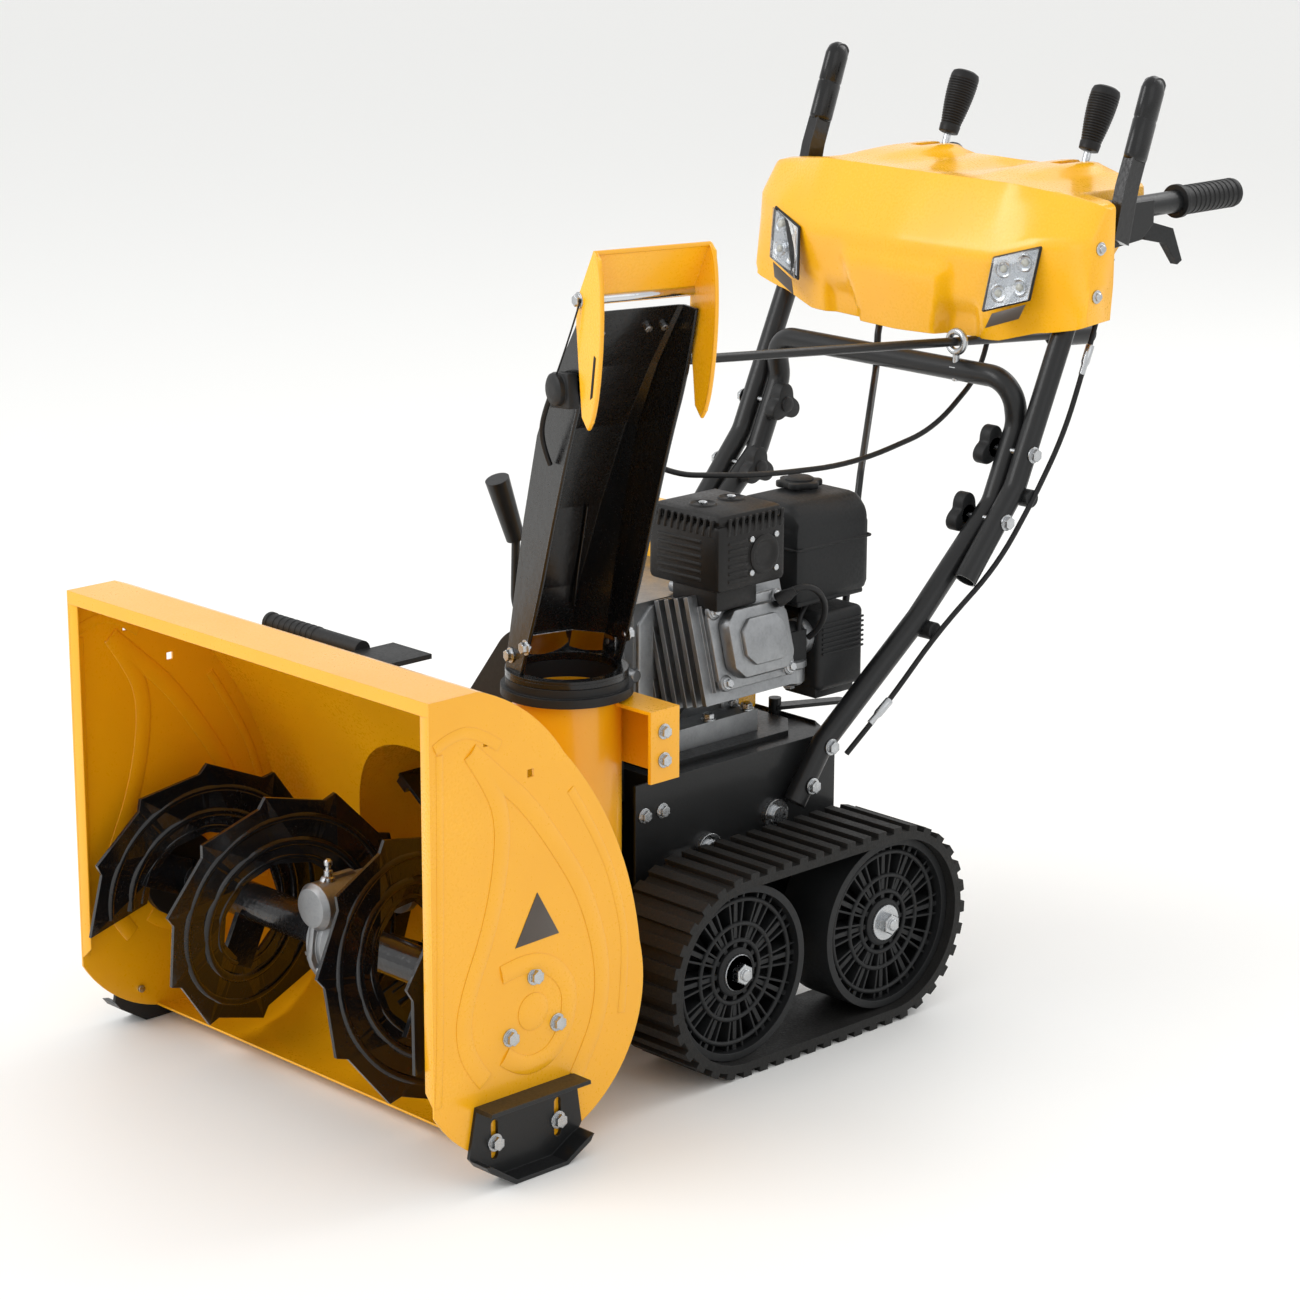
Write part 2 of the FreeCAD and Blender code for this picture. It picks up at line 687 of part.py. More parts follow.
# ---------------------------------------------------------------- handles
def lower_handle():
    """Bent tube bolted to the frame box, with the upper cross bar."""
    x = size("lower_x")
    left = hollow([V(163, 614, 233), V(165, 655, 292), V(x, 784, 411), V(x, 902, 520), V(x, 940, 604),
                   V(x, 930, 654), V(0, 930, 654)], size("handle_radius"), 32)
    right = left.mirror(V(0, 0, 0), X)
    keep("lower_handle", shaped(left.fuse(right), "lower_handle"))


def upper_handles():
    """Tubes from the lower handle up to the level hand grips."""
    x = size("upper_x")
    tube = shaped(hollow([V(x, 828, 450), V(x, 906, 540), V(x, 984, 712), V(x, 1016, size("grip_z")),
                          V(x, 1266, size("grip_z"))], size("handle_radius"), 46), "upper_handle")
    group("upper_handles", [tube, mirrored(tube)])


def handle_grips():
    base = V(size("upper_x"), 1168, size("grip_z"))
    sleeve = cylinder("dims.grip_radius", 103, base, Y)
    collar = cylinder("dims.grip_radius + 3", 6, base, Y)
    bore = cylinder("dims.handle_radius", 100, base - Y, Y)
    grip = less(united([sleeve, collar]), [bore])
    group("handle_grips", [grip, mirrored(grip)])


def handle_bolts():
    """Bolts through both tubes, and the two bolts that hold the lower handle to the box."""
    pieces = []
    for y, z in ((880, 508), (922, 577)):
        pieces.append(bolt(V(size("upper_x") + 12, y, z), X, 53.5, 7, 5, 3.5))
    for y, z in ((627, 252), (655, 290)):
        pieces.append(bolt(V(177.5, y, z), X, 27.5, 7, 5, 3.5))
    for y, z in ((880, 508), (922, 577)):
        pieces.append(knob(y, z))
    group("handle_bolts", pieces + [mirrored(item) for item in pieces] + [eye_bolt()])


def knob(y, z):
    """Three lobed clamping knob on the inner side of the tubes."""
    x = size("lower_x") - 14
    lobes = [cylinder(11, 14, V(x - 14, y, z), X)]
    for number in range(3):
        angle = math.radians(120 * number + 90)
        lobes.append(cylinder(8, 12, V(x - 14, y + 15 * math.cos(angle), z + 15 * math.sin(angle)), X))
        rib = box(V(x - 14, 0, -6), 12, 15, 12)
        rib.Placement = FreeCAD.Placement(V(0, y, z), FreeCAD.Rotation(X, 120 * number + 90)) * rib.Placement
        lobes.append(rib)
    return united(lobes)


def clutch_lever():
    """Folded lever over the grip, hinged in the bracket beside the console."""
    outer = [(1022, 806), (1046, 796), (1060, 858), (1100, 966), ((1092, 975), (1080, 973)), (1036, 862)]
    lever = plate("YZ_Plane", 230, "14", outer, name="clutch_lever")
    return lever


def clutch_levers():
    left = clutch_lever()
    keep("clutch_lever_left", left)
    keep("clutch_lever_right", mirrored(left))


def lever_bracket():
    """Plate on the handle tube that carries the clutch lever pivot and the steering trigger."""
    x = size("upper_x") + size("handle_radius")
    outline = [(1024, 790), (1090, 796), (1110, 812), (1110, 838), (1024, 838)]
    left = plate("YZ_Plane", x, "4", outline, name="lever_bracket")
    group("lever_brackets", [left, mirrored(left)])


def steering_triggers():
    outline = [(1104, 806), (1118, 812), (1160, 800), (1178, 762), (1170, 758), (1148, 784), (1112, 792)]
    left = plate("YZ_Plane", 205, "10", outline, name="steering_trigger")
    keep("steering_trigger_left", left)
    keep("steering_trigger_right", mirrored(left))


# ---------------------------------------------------------------- console and controls
def console_section(x, low, front, top, back, thin=0):
    """Cross section of the console at x: bottom edge, bulged front, top edge and open rear."""
    points = [V(x, low[0] + thin, low[1] - 30 * bool(thin)), V(x, front[0] + thin, front[1]),
              V(x, top[0] + thin, top[1] - thin), V(x, back[0] + 30 * bool(thin), back[1] - thin),
              V(x, back[0] + 30 * bool(thin), back[2] - 30 * bool(thin))]
    return Part.makePolygon(points + points[:1])


def console():
    """Moulded console: deep front, sloping top, open below and towards the operator."""
    end = ((968, 716), (988, 806), (1006, 842), (1012, 843, 716))
    shoulder = ((964, 708), (976, 801), (998, 847), (1018, 849, 712))
    step = ((963, 706), (974, 800), (996, 848), (1146, 846, 830))
    bulge = ((952, 688), (932, 784), (968, 862), (1146, 858, 838))
    solids = []
    for thin in (0, 2.5):
        half = ((252 - thin, end), (196, shoulder), (190 - thin, step), (142, bulge))
        places = [(-x, shape) for x, shape in half] + [(x, shape) for x, shape in reversed(half)]
        solids.append(Part.makeLoft([console_section(x, *shape, thin) for x, shape in places], True, True))
    body = solids[0].cut(solids[1])
    for side in (-1, 1):
        slot = Part.makeBox(22, 62, 60, V(side * 106 - 11, 1080, 820))
        body = body.cut(slot)
    keep("console", shaped(body, "console"))


def lamps():
    outline = [(148, 736), (196, 748), (204, 798), (152, 782)]
    lamp = plate("XZ_Plane", -938, "8", outline, name="lamp")
    group("lamps", [lamp, mirrored(lamp)])


def joystick(x):
    foot = V(x, 1112, 800)
    knob_base = V(x, 1139, 878)
    axis = (V(x, 1171, 950) - knob_base).normalize()
    stem_axis = (knob_base - foot).normalize()
    stem = cylinder(4.5, (knob_base - foot).Length - 1.5, foot, stem_axis)
    grip = united([cone(12, 17, 66, knob_base, axis), cone(17, 12, 8, knob_base + axis * 66, axis)])
    return stem, grip


def console_levers():
    for label, x in (("speed_lever", -106), ("deflector_lever", 106)):
        stem, grip = joystick(x)
        group(label, [stem, grip])


def crank_rod():
    """Rod that turns the chute, with a coaxial hand grip behind the eye bolt."""
    start = V(104, 420, 727.5)
    finish = V(104, 1146, 668)
    axis = (finish - start).normalize()
    length = (finish - start).Length
    rod = cylinder("dims.rod_radius", length, start, axis)
    bore = cylinder("dims.rod_radius", 56.5, finish - axis * 56.5, axis)
    group("chute_rod", [rod, less(cylinder(13, 62, finish - axis * 56, axis), [bore])])


def eye_bolt():
    start = V(104, 420, 727.5)
    axis = (V(104, 1146, 668) - start).normalize()
    eye = start + axis * ((925 - start.y) / axis.y)
    ring = doc.addObject("Part::Torus", "eye")
    bind(ring, Radius1="11.4", Radius2="4")
    ring.Placement = FreeCAD.Placement(eye, turned(axis))
    stem = cylinder(4, 34, eye - Z * 44)
    nut = hexagon(8, 5, eye - Z * 24.5 - Z * 8)
    return united([ring, stem, nut])


def shift_linkage():
    """Rod from the speed lever down to the selector arm on top of the box."""
    arm = plate("XY_Plane", 304, "4", [(57, 685), (74, 678), (105, 748), ((101, 757), (91, 754))], name="arm")
    keep("selector_arm", united([arm, cylinder(7, 20, V(66, 682.5, 296.3))]))
    route = [V(-64, 1000, 760), V(-54, 968, 668), V(-50, 962, 630), V(60, 820, 545), V(97, 758, 402),
             V(97, 757, 322)]
    keep("shift_rod", shaped(swept(route, 4, 18), "shift_rod"))


def control_cables():
    """Two clutch cables clipped down the handle tubes and one deflector cable across to the chute."""
    route = [V(231, 1034, 782), V(231, 1002, 690), V(231, 963, 598), V(230, 915, 530), V(226, 862, 464),
             V(206, 790, 398), V(200, 722, 334), V(188, 668, 282)]
    left = shaped(swept(route, size("cable_radius")), "clutch_cable")
    group("clutch_cables", [left, mirrored(left)])
    bridge = [V(88, 1004, 700), V(90, 980, 640), V(96, 900, 590), V(104, 760, 572), V(110, 610, 584),
              V(90, 500, 598), V(60, 450, 634), V(60, 424, 690)]
    keep("deflector_cable", shaped(swept(bridge, size("cable_radius")), "deflector_cable"))


def clean_out_tool():
    """Long handled spade held on top of the housing."""
    handle = cylinder(10, 150, V(-150, 156, 456), X)
    blade = box(V(0, 136, 452), 60, 60, 5)
    keep("clean_out_tool", united([handle, blade]))


def side_lever():
    """Short lever at the operator's right, beside the engine."""
    stem = swept([V(-156, 540, 268), V(-225, 590, 310), V(-260, 592, 381), V(-260, 594, 451)], 5, 30)
    group("side_lever", [shaped(stem, "stem"), cone(11, 14, 78, V(-260, 593.6, 452.5), V(0, -0.35, 0.94))])


# ---------------------------------------------------------------- engine
def engine_block():
    """Crankcase with the finned cylinder leaning to the operator's left."""
    base = box(V(-95, 456, 301), 200, 160, 24)
    case = box(V(-88, 462, 312), 160, 158, 150)
    front = cylinder(62, 14, V(0, 450, size("crank_z")), Y)
    lean = FreeCAD.Rotation(Y, -15)
    barrel = box(V(60, -56, -46), 92, 112, 92)
    fins = []
    for number in range(6):
        fins.append(box(V(66 + 15 * number, -68, -58), 6, 136, 116))
    cylinder_block = united([barrel] + fins)
    cylinder_block.Placement = FreeCAD.Placement(V(0, 555, 382), lean)
    bore = cylinder(11.4, 60, V(0, 440, size("crank_z")), Y)
    keep("engine_block", less(united([base, case, front, cylinder_block]), [bore]))


def valve_cover():
    body = box(V(154, -54, -44), 34, 108, 88)
    body = rounded(body, 8)
    body.Placement = FreeCAD.Placement(V(0, 555, 382), FreeCAD.Rotation(Y, -15))
    keep("valve_cover", body)


def muffler():
    body = rounded(box(V(58, 492, 482), 110, 104, 88), 8)
    keep("muffler", body)


def fuel_tank():
    body = rounded(box(V(30, 640, 436), 108, 120, 112), 14)
    keep("fuel_tank", body)
    lid = united([cylinder(21, 12, V(66, 716, 548.2)), cylinder(26, 6, V(66, 716, 550))])
    keep("fuel_cap", lid)


def air_cover():
    body = rounded(box(V(76, 668, 340), 70, 70, 88), 8)
    throat = united([cylinder(18, 40, V(118, 628, 400), Y), box(V(100, 628, 372), 36, 30, 40)])
    group("air_cover", [body, throat])


def fan_cover():
    """Fan cover at the back of the engine with the round recoil starter on it."""
    low = box(V(-124, 620, 306), 182, 44, 124)
    high = box(V(-124, 620, 306), 148, 44, 212)
    body = rounded(united([low, high]), 6)
    group("fan_cover", [body, cylinder(70, 34, V(-34, 664, size("crank_z")), Y)])
    grip = rounded(box(V(-56, 698.4, 424), 44, 14, 14), 4)
    keep("starter_grip", grip)


builders = [side_plates, auger_housing, impeller_drum, tube_ring, tube_bracket, scraper_bar, skids,
            housing_bolts, auger_bearings, augers, auger_shaft, auger_gearbox, impeller, impeller_shaft,
            crankshaft, drive_belt, belt_cover, chute, chute_collar, chute_fasteners, deflector, frame_box,
            frame_bolts, engine_plate, tracks, wheels, track_frames, lower_handle,
            upper_handles, handle_grips, handle_bolts, clutch_levers, lever_bracket,
            steering_triggers, console, lamps, console_levers, crank_rod, shift_linkage,
            control_cables, clean_out_tool, side_lever, engine_block, valve_cover, muffler, fuel_tank,
            air_cover, fan_cover]
for build in builders:
    build()
doc.recompute()

setback = FreeCAD.Placement(V(0, -size("setback"), 0), FreeCAD.Rotation())
for item in subparts.values():
    follows_source = item.isDerivedFrom("Part::Mirroring") and item.Source in subparts.values()
    if not follows_source:
        item.Placement = setback * item.Placement
doc.recompute()

problems = []
for item in doc.Objects:
    if "Invalid" in item.State or "Error" in item.State:
        problems.append(item.Label + " " + str(item.State))
for label, item in subparts.items():
    if item.Shape.isNull() or not item.Shape.isValid() or not item.Shape.Solids:
        problems.append(label + " has a bad shape")
if len(subparts) > 60:
    problems.append("%d is too many sub-parts" % len(subparts))
if problems:
    raise SystemExit("\n".join(problems))

os.makedirs("parts", exist_ok=True)
for label, item in subparts.items():
    item.Shape.exportStep("parts/" + label + ".step")
print(len(subparts), "sub-parts")
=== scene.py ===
import math
import bpy
from mathutils import Matrix, Vector


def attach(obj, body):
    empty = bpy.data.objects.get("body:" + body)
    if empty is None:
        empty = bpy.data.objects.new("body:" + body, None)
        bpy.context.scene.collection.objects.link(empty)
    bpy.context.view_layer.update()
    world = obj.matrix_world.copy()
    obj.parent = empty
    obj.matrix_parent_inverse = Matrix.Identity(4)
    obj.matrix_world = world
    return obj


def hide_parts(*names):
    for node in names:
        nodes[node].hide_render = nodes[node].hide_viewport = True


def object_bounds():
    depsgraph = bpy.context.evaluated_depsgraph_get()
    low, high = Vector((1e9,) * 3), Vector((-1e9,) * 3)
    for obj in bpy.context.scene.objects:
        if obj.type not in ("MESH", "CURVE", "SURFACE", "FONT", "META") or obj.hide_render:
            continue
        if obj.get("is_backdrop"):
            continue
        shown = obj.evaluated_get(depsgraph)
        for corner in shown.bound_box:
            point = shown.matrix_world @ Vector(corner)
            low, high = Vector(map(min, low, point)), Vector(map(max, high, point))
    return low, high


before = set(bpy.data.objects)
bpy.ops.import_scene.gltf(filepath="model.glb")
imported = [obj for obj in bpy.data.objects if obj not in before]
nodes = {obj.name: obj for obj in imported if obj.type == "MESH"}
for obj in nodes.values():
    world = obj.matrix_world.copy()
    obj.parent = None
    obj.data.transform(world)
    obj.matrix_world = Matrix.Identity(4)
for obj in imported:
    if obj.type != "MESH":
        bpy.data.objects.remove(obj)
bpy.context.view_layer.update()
setback = 630.5  # mm from the front of the auger housing to the middle of the machine


def at(x, y, z):
    return Vector((x / 1000, (y - setback) / 1000, z / 1000))


def deselectAll():
    if bpy.context.mode != "OBJECT":
        bpy.ops.object.mode_set(mode="OBJECT")
    bpy.ops.object.select_all(action="DESELECT")


# camera, floor and light
view = dict(place=(2.748, -2.711, 1.434), azimuth=46.19, down=15.46, roll=0.162, lens=101.15)
deselectAll()
bpy.ops.object.camera_add()
camera = bpy.context.object
camera.name = "camera"
camera.data.lens = view["lens"]
camera.data.sensor_width = 36
turnedView = (Matrix.Rotation(math.radians(view["azimuth"]), 4, "Z")
              @ Matrix.Rotation(math.radians(90 - view["down"]), 4, "X")
              @ Matrix.Rotation(math.radians(view["roll"]), 4, "Z"))
camera.matrix_world = Matrix.Translation(view["place"]) @ turnedView
bpy.context.scene.camera = camera

# studio lights: place, width in metres, watts
softboxes = dict(key=((-1.6, -3.4, 3.0), 2.4, 80), side=((3.6, -0.2, 2.2), 2.2, 8),
                 back=((0.4, 3.2, 3.0), 2.6, 50), front=((1.6, -3.6, 1.0), 1.6, 5))
lightTarget = Vector((0, 0, 0.4))
for lightName, (place, width, power) in softboxes.items():
    bpy.ops.object.light_add(type="AREA", location=place)
    softbox = bpy.context.object
    softbox.name = lightName + "Light"
    softbox.data.size = width
    softbox.data.energy = power
    softbox.rotation_euler = (lightTarget - Vector(place)).to_track_quat("-Z", "Y").to_euler()
world = bpy.data.worlds.new("studio")
world.use_nodes = True
world.node_tree.nodes["Background"].inputs["Color"].default_value = (1, 1, 1, 1)
world.node_tree.nodes["Background"].inputs["Strength"].default_value = 0.95
bpy.context.scene.world = world
bpy.context.scene.view_settings.view_transform = "Standard"
print("camera and light set")


# materials
def hexColour(code):
    parts = [int(code[i:i + 2], 16) / 255 for i in (0, 2, 4)]
    return tuple(c / 12.92 if c <= 0.04045 else ((c + 0.055) / 1.055) ** 2.4 for c in parts) + (1,)


def addNode(tree, kind, values=None, links=None, **settings):
    node = tree.nodes.new("ShaderNode" + kind)
    for name, value in settings.items():
        setattr(node, name, value)
    for socket, value in (values or {}).items():
        node.inputs[socket].default_value = value
    for socket, source in (links or {}).items():
        tree.links.new(source, node.inputs[socket])
    return node


finishes = dict(
    # polyester powder coat on steel sheet: warm yellow, faint orange peel, pale at the edges from wear and painted
    # edge highlight
    yellowPowderCoat=dict(colour="F7B409", shade="EBA205", paleEdgeWearAndHighlight="FFD25A", rough=(0.26, 0.40), peel=(2.2, 0.05),
                          patch=140, edge=0.35, coat=0.35),
    # injection moulded ABS cover: brighter yellow, smooth skin, light flow marks
    yellowMouldedAbs=dict(colour="FFBF12", shade="F6AE08", paleEdgeWearAndHighlight="FFD76B", rough=(0.24, 0.36), peel=(4.0, 0.03),
                          patch=90, edge=0.25, coat=0.3),
    # satin black powder coat on tubes and brackets: fine peel, grey at the edges from scuffing and painted edge
    # highlight
    satinBlackPowderCoat=dict(colour="121314", shade="1B1C1D", paleEdgeWearAndHighlight="4A4B4D", rough=(0.34, 0.50), peel=(1.6, 0.07),
                              shine=0.3, patch=70, edge=0.5, coat=0.15),
    # dipped gloss black enamel on the snow working parts: soft runs, grey at the edges from chips and painted edge
    # highlight
    glossBlackEnamel=dict(colour="0A0A0B", shade="141416", paleEdgeWearAndHighlight="5A5C5F", rough=(0.14, 0.30), peel=(6.0, 0.10),
                          shine=0.3, patch=60, edge=0.55, coat=0.5),
    # moulded gloss black polypropylene of the chute: slow waves in the skin, fine scuffs
    glossBlackPolypropylene=dict(colour="0B0B0C", shade="161718", paleEdgeWearAndHighlight="3C3D3F", rough=(0.20, 0.34), peel=(14, 0.02),
                                 shine=0.3, patch=110, edge=0.3, coat=0.2),
    # textured black nylon of wheels, tank and covers: spark eroded grain, dull
    grainedBlackNylon=dict(colour="161718", shade="1F2021", paleEdgeWearAndHighlight="3E4042", rough=(0.46, 0.62), peel=(0.9, 0.12),
                           shine=0.3, patch=50, edge=0.4, coat=0),
    # heat resisting black stove paint: flat, brownish where it gets hot
    stovePaint=dict(colour="0C0C0C", shade="1A1817", paleEdgeWearAndHighlight="3B3A39", rough=(0.38, 0.58), peel=(1.2, 0.10),
                    shine=0.3, patch=40, edge=0.45, coat=0),
    # soft rubber of grips, cables and belt: dull with a bloom
    softRubber=dict(colour="0E0E0F", shade="1A1A1B", paleEdgeWearAndHighlight="2C2C2D", rough=(0.42, 0.60), peel=(1.4, 0.08),
                    shine=0.3, patch=45, edge=0.25, coat=0),
    # filled track rubber: dull black with pale dust in patches
    trackRubber=dict(colour="121212", shade="232220", paleEdgeWearAndHighlight="3A3936", rough=(0.55, 0.78), peel=(1.8, 0.22),
                     shine=0.3, patch=35, edge=0.4, coat=0),
    # bright zinc plate on bolts and rods: cool silver with a slight bluish bloom
    brightZincPlate=dict(colour="C9CBCC", shade="A9ACB0", paleEdgeWearAndHighlight="E6E8E8", rough=(0.20, 0.40), peel=(0.8, 0.05),
                         patch=8, edge=0.4, metal=1),
    # turned steel: darker and streaked
    turnedSteel=dict(colour="9A9B9C", shade="77787A", paleEdgeWearAndHighlight="C8C9CA", rough=(0.26, 0.46), peel=(0.6, 0.06),
                     patch=12, edge=0.4, metal=1),
    # die cast aluminium: grey, pebbled skin, darker in patches
    dieCastAluminium=dict(colour="A6A8AA", shade="7F8183", paleEdgeWearAndHighlight="CFD1D2", rough=(0.36, 0.58), peel=(1.1, 0.22),
                          patch=22, edge=0.5, metal=1),
    # chrome plate of the lever stems: mirror like, with faint polishing waves
    polishedChrome=dict(colour="D9DBDD", shade="BDBFC2", paleEdgeWearAndHighlight="F2F3F3", rough=(0.06, 0.16), peel=(9, 0.02),
                        patch=20, edge=0.2, metal=1),
    # vapour coated reflector: bright, slightly milky
    vapourChromeDish=dict(colour="D4D7DA", shade="AEB2B7", paleEdgeWearAndHighlight="F2F3F3", rough=(0.16, 0.34), peel=(1.5, 0.05),
                          patch=10, edge=0.2, metal=1),
    # phosphor domes of the emitters: creamy white
    emitterPhosphor=dict(colour="F4F2E6", shade="E4E2D2", paleEdgeWearAndHighlight="FFFFFF", rough=(0.2, 0.3), peel=(1, 0.02),
                         patch=6, edge=0.1, coat=0.4),
    # clear cover moulding: nearly invisible but for its gloss
    clearPolycarbonate=dict(colour="FBFCFD", shade="F4F6F8", paleEdgeWearAndHighlight="FFFFFF", rough=(0.02, 0.06), peel=(12, 0.01),
                            patch=30, edge=0.1, clear=1),
    # printed film labels without any print: dark grey, satin
    labelFilm=dict(colour="4A4038", shade="3F372F", paleEdgeWearAndHighlight="6A6058", rough=(0.3, 0.42), peel=(2, 0.02),
                   patch=20, edge=0.2, coat=0.1),
)


def makeFinish(name, look):
    material = bpy.data.materials.new(name)
    material.use_nodes = True
    tree = material.node_tree
    shader = tree.nodes["Principled BSDF"]
    place = addNode(tree, "TexCoord").outputs["Object"]
    cloud = addNode(tree, "TexNoise", {"Scale": 1000 / look["patch"], "Detail": 6, "Roughness": 0.6},
                    {"Vector": place})
    # the 3 mm noise varies the roughness for dust and scuffs, and breaks up the paler edges, which are partly
    # painted edge highlight
    speck = addNode(tree, "TexNoise", {"Scale": 1000 / 3, "Detail": 3}, {"Vector": place})  # 3 mm dust and scuffs
    tint = addNode(tree, "Mix", links={"Factor": cloud.outputs["Fac"]}, data_type="RGBA")
    tint.inputs["A"].default_value = hexColour(look["colour"])
    tint.inputs["B"].default_value = hexColour(look["shade"])
    # bevel mask of every edge: the edges get a paler colour, partly wear and partly painted edge highlight
    soft = addNode(tree, "Bevel", {"Radius": 0.0012}, samples=4)
    flat = addNode(tree, "NewGeometry")
    align = addNode(tree, "VectorMath", links={0: soft.outputs["Normal"], 1: flat.outputs["Normal"]},
                    operation="DOT_PRODUCT")
    corner = addNode(tree, "MapRange", {"From Min": 0.995, "From Max": 0.86, "To Min": 0, "To Max": look["edge"]},
                     {"Value": align.outputs["Value"]})
    edgeWearAndHighlightMask = addNode(tree, "Math", links={0: corner.outputs["Result"], 1: speck.outputs["Fac"]},
                     operation="MULTIPLY")
    # the paler edge colour is mixed in here: painted edge highlight and wear
    edgeWearAndHighlightMix = addNode(tree, "Mix", links={"Factor": edgeWearAndHighlightMask.outputs["Value"], "A": tint.outputs["Result"]},
                  data_type="RGBA")
    edgeWearAndHighlightMix.inputs["B"].default_value = hexColour(look["paleEdgeWearAndHighlight"])
    tree.links.new(edgeWearAndHighlightMix.outputs["Result"], shader.inputs["Base Color"])
    blend = addNode(tree, "Math", links={0: cloud.outputs["Fac"], 1: speck.outputs["Fac"]}, operation="MULTIPLY")
    low, high = look["rough"]
    rough = addNode(tree, "MapRange", {"From Min": 0.15, "From Max": 0.40, "To Min": low, "To Max": high},
                    {"Value": blend.outputs["Value"]})
    tree.links.new(rough.outputs["Result"], shader.inputs["Roughness"])
    grain, strength = look["peel"]
    peel = addNode(tree, "TexNoise", {"Scale": 1000 / grain, "Detail": 2}, {"Vector": place})
    bump = addNode(tree, "Bump", {"Strength": strength, "Distance": grain / 1000},
                   {"Height": peel.outputs["Fac"], "Normal": soft.outputs["Normal"]})
    tree.links.new(bump.outputs["Normal"], shader.inputs["Normal"])
    shader.inputs["Metallic"].default_value = look.get("metal", 0)
    shader.inputs["Coat Weight"].default_value = look.get("coat", 0)
    shader.inputs["Coat Roughness"].default_value = 0.12
    shader.inputs["Specular IOR Level"].default_value = look.get("shine", 0.5)
    shader.inputs["Transmission Weight"].default_value = look.get("clear", 0)
    return material


skins = {name: makeFinish(name, look) for name, look in finishes.items()}

dressed = dict(
    yellowPowderCoat=["side_plates", "auger_housing", "impeller_drum", "tube_bracket"],
    yellowMouldedAbs=["console", "deflector", "fan_cover"],
    satinBlackPowderCoat=["skids", "scraper_bar", "frame_box", "engine_plate", "lower_handle", "upper_handles",
                          "lever_brackets", "track_frames", "selector_arm", "shift_rod", "chute_rod",
                          "side_lever", "auger_bearings"],
    glossBlackEnamel=["auger_left", "auger_right", "impeller", "clutch_lever_left", "clutch_lever_right"],
    glossBlackPolypropylene=["chute", "chute_collar"],
    grainedBlackNylon=["tube_ring", "belt_cover", "fuel_tank", "fuel_cap", "air_cover", "starter_grip",
                       "clean_out_tool", "drive_wheel_left", "drive_wheel_right", "idler_wheel_left",
                       "idler_wheel_right", "steering_trigger_left", "steering_trigger_right"],
    stovePaint=["muffler"],
    softRubber=["handle_grips", "clutch_cables", "deflector_cable", "drive_belt", "speed_lever",
                "deflector_lever"],
    trackRubber=["track_left", "track_right"],
    brightZincPlate=["housing_bolts", "frame_bolts", "handle_bolts", "chute_fasteners"],
    turnedSteel=["auger_shaft", "impeller_shaft", "crankshaft"],
    dieCastAluminium=["auger_gearbox", "engine_block", "valve_cover"],
    polishedChrome=["lamps"],
)
for skinName, members in dressed.items():
    for member in members:
        mesh = nodes[member].data
        if not mesh.materials:
            mesh.materials.append(skins[skinName])
        for number in range(len(mesh.materials)):
            mesh.materials[number] = skins[skinName]
print("finishes made")

# floor
deselectAll()
bpy.ops.mesh.primitive_plane_add(size=60, location=(0, 0, -0.0005))
floor = bpy.context.object
floor.name = "floor"
floorPaint = bpy.data.materials.new("paleFloor")
floorPaint.use_nodes = True
floorPaint.node_tree.nodes["Principled BSDF"].inputs["Base Color"].default_value = hexColour("F1F1EF")
floorPaint.node_tree.nodes["Principled BSDF"].inputs["Roughness"].default_value = 0.55
floor.data.materials.append(floorPaint)
floor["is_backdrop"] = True


# shared making steps
def hold(piece, name):
    piece.name = name
    piece.data.name = name
    return piece


def settle(piece, body, finish, angle=35, replaced=()):
    deselectAll()
    piece.select_set(True)
    bpy.context.view_layer.objects.active = piece
    bpy.ops.object.transform_apply(location=True, rotation=True, scale=True)
    bpy.ops.object.shade_smooth_by_angle(angle=math.radians(angle))
    piece.data.materials.clear()
    piece.data.materials.append(skins[finish])
    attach(piece, body)
    if replaced:
        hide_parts(*replaced)
    return piece


def applied(piece, kind, **settings):
    deselectAll()
    piece.select_set(True)
    bpy.context.view_layer.objects.active = piece
    modifier = piece.modifiers.new(kind.title(), kind)
    for name, value in settings.items():
        setattr(modifier, name, value)
    bpy.ops.object.modifier_apply(modifier=modifier.name)
    return piece


def recalculated(piece):
    deselectAll()
    piece.select_set(True)
    bpy.context.view_layer.objects.active = piece
    bpy.ops.object.mode_set(mode="EDIT")
    bpy.ops.mesh.select_all(action="SELECT")
    bpy.ops.mesh.remove_doubles(threshold=0.00002)
    bpy.ops.mesh.normals_make_consistent(inside=False)
    bpy.ops.object.mode_set(mode="OBJECT")
    return piece


def joined(pieces, name):
    deselectAll()
    for piece in pieces:
        piece.select_set(True)
    bpy.context.view_layer.objects.active = pieces[0]
    bpy.ops.object.join()
    return hold(bpy.context.object, name)


def slab(name, outline, thick, push, round=0.0008):
    # a circle's corners are moved to the outline, filled and extruded along push
    deselectAll()
    bpy.ops.mesh.primitive_circle_add(vertices=len(outline), fill_type="NGON")
    piece = hold(bpy.context.object, name)
    for vertex, place in zip(piece.data.vertices, outline):
        vertex.co = place
    bpy.ops.object.mode_set(mode="EDIT")
    bpy.ops.mesh.select_all(action="SELECT")
    reach = Vector(push).normalized() * thick / 1000
    bpy.ops.mesh.extrude_region_move(TRANSFORM_OT_translate={"value": reach})
    bpy.ops.object.mode_set(mode="OBJECT")
    recalculated(piece)
    if round:
        applied(piece, "BEVEL", width=round, segments=2, limit_method="ANGLE", angle_limit=math.radians(30))
    return piece


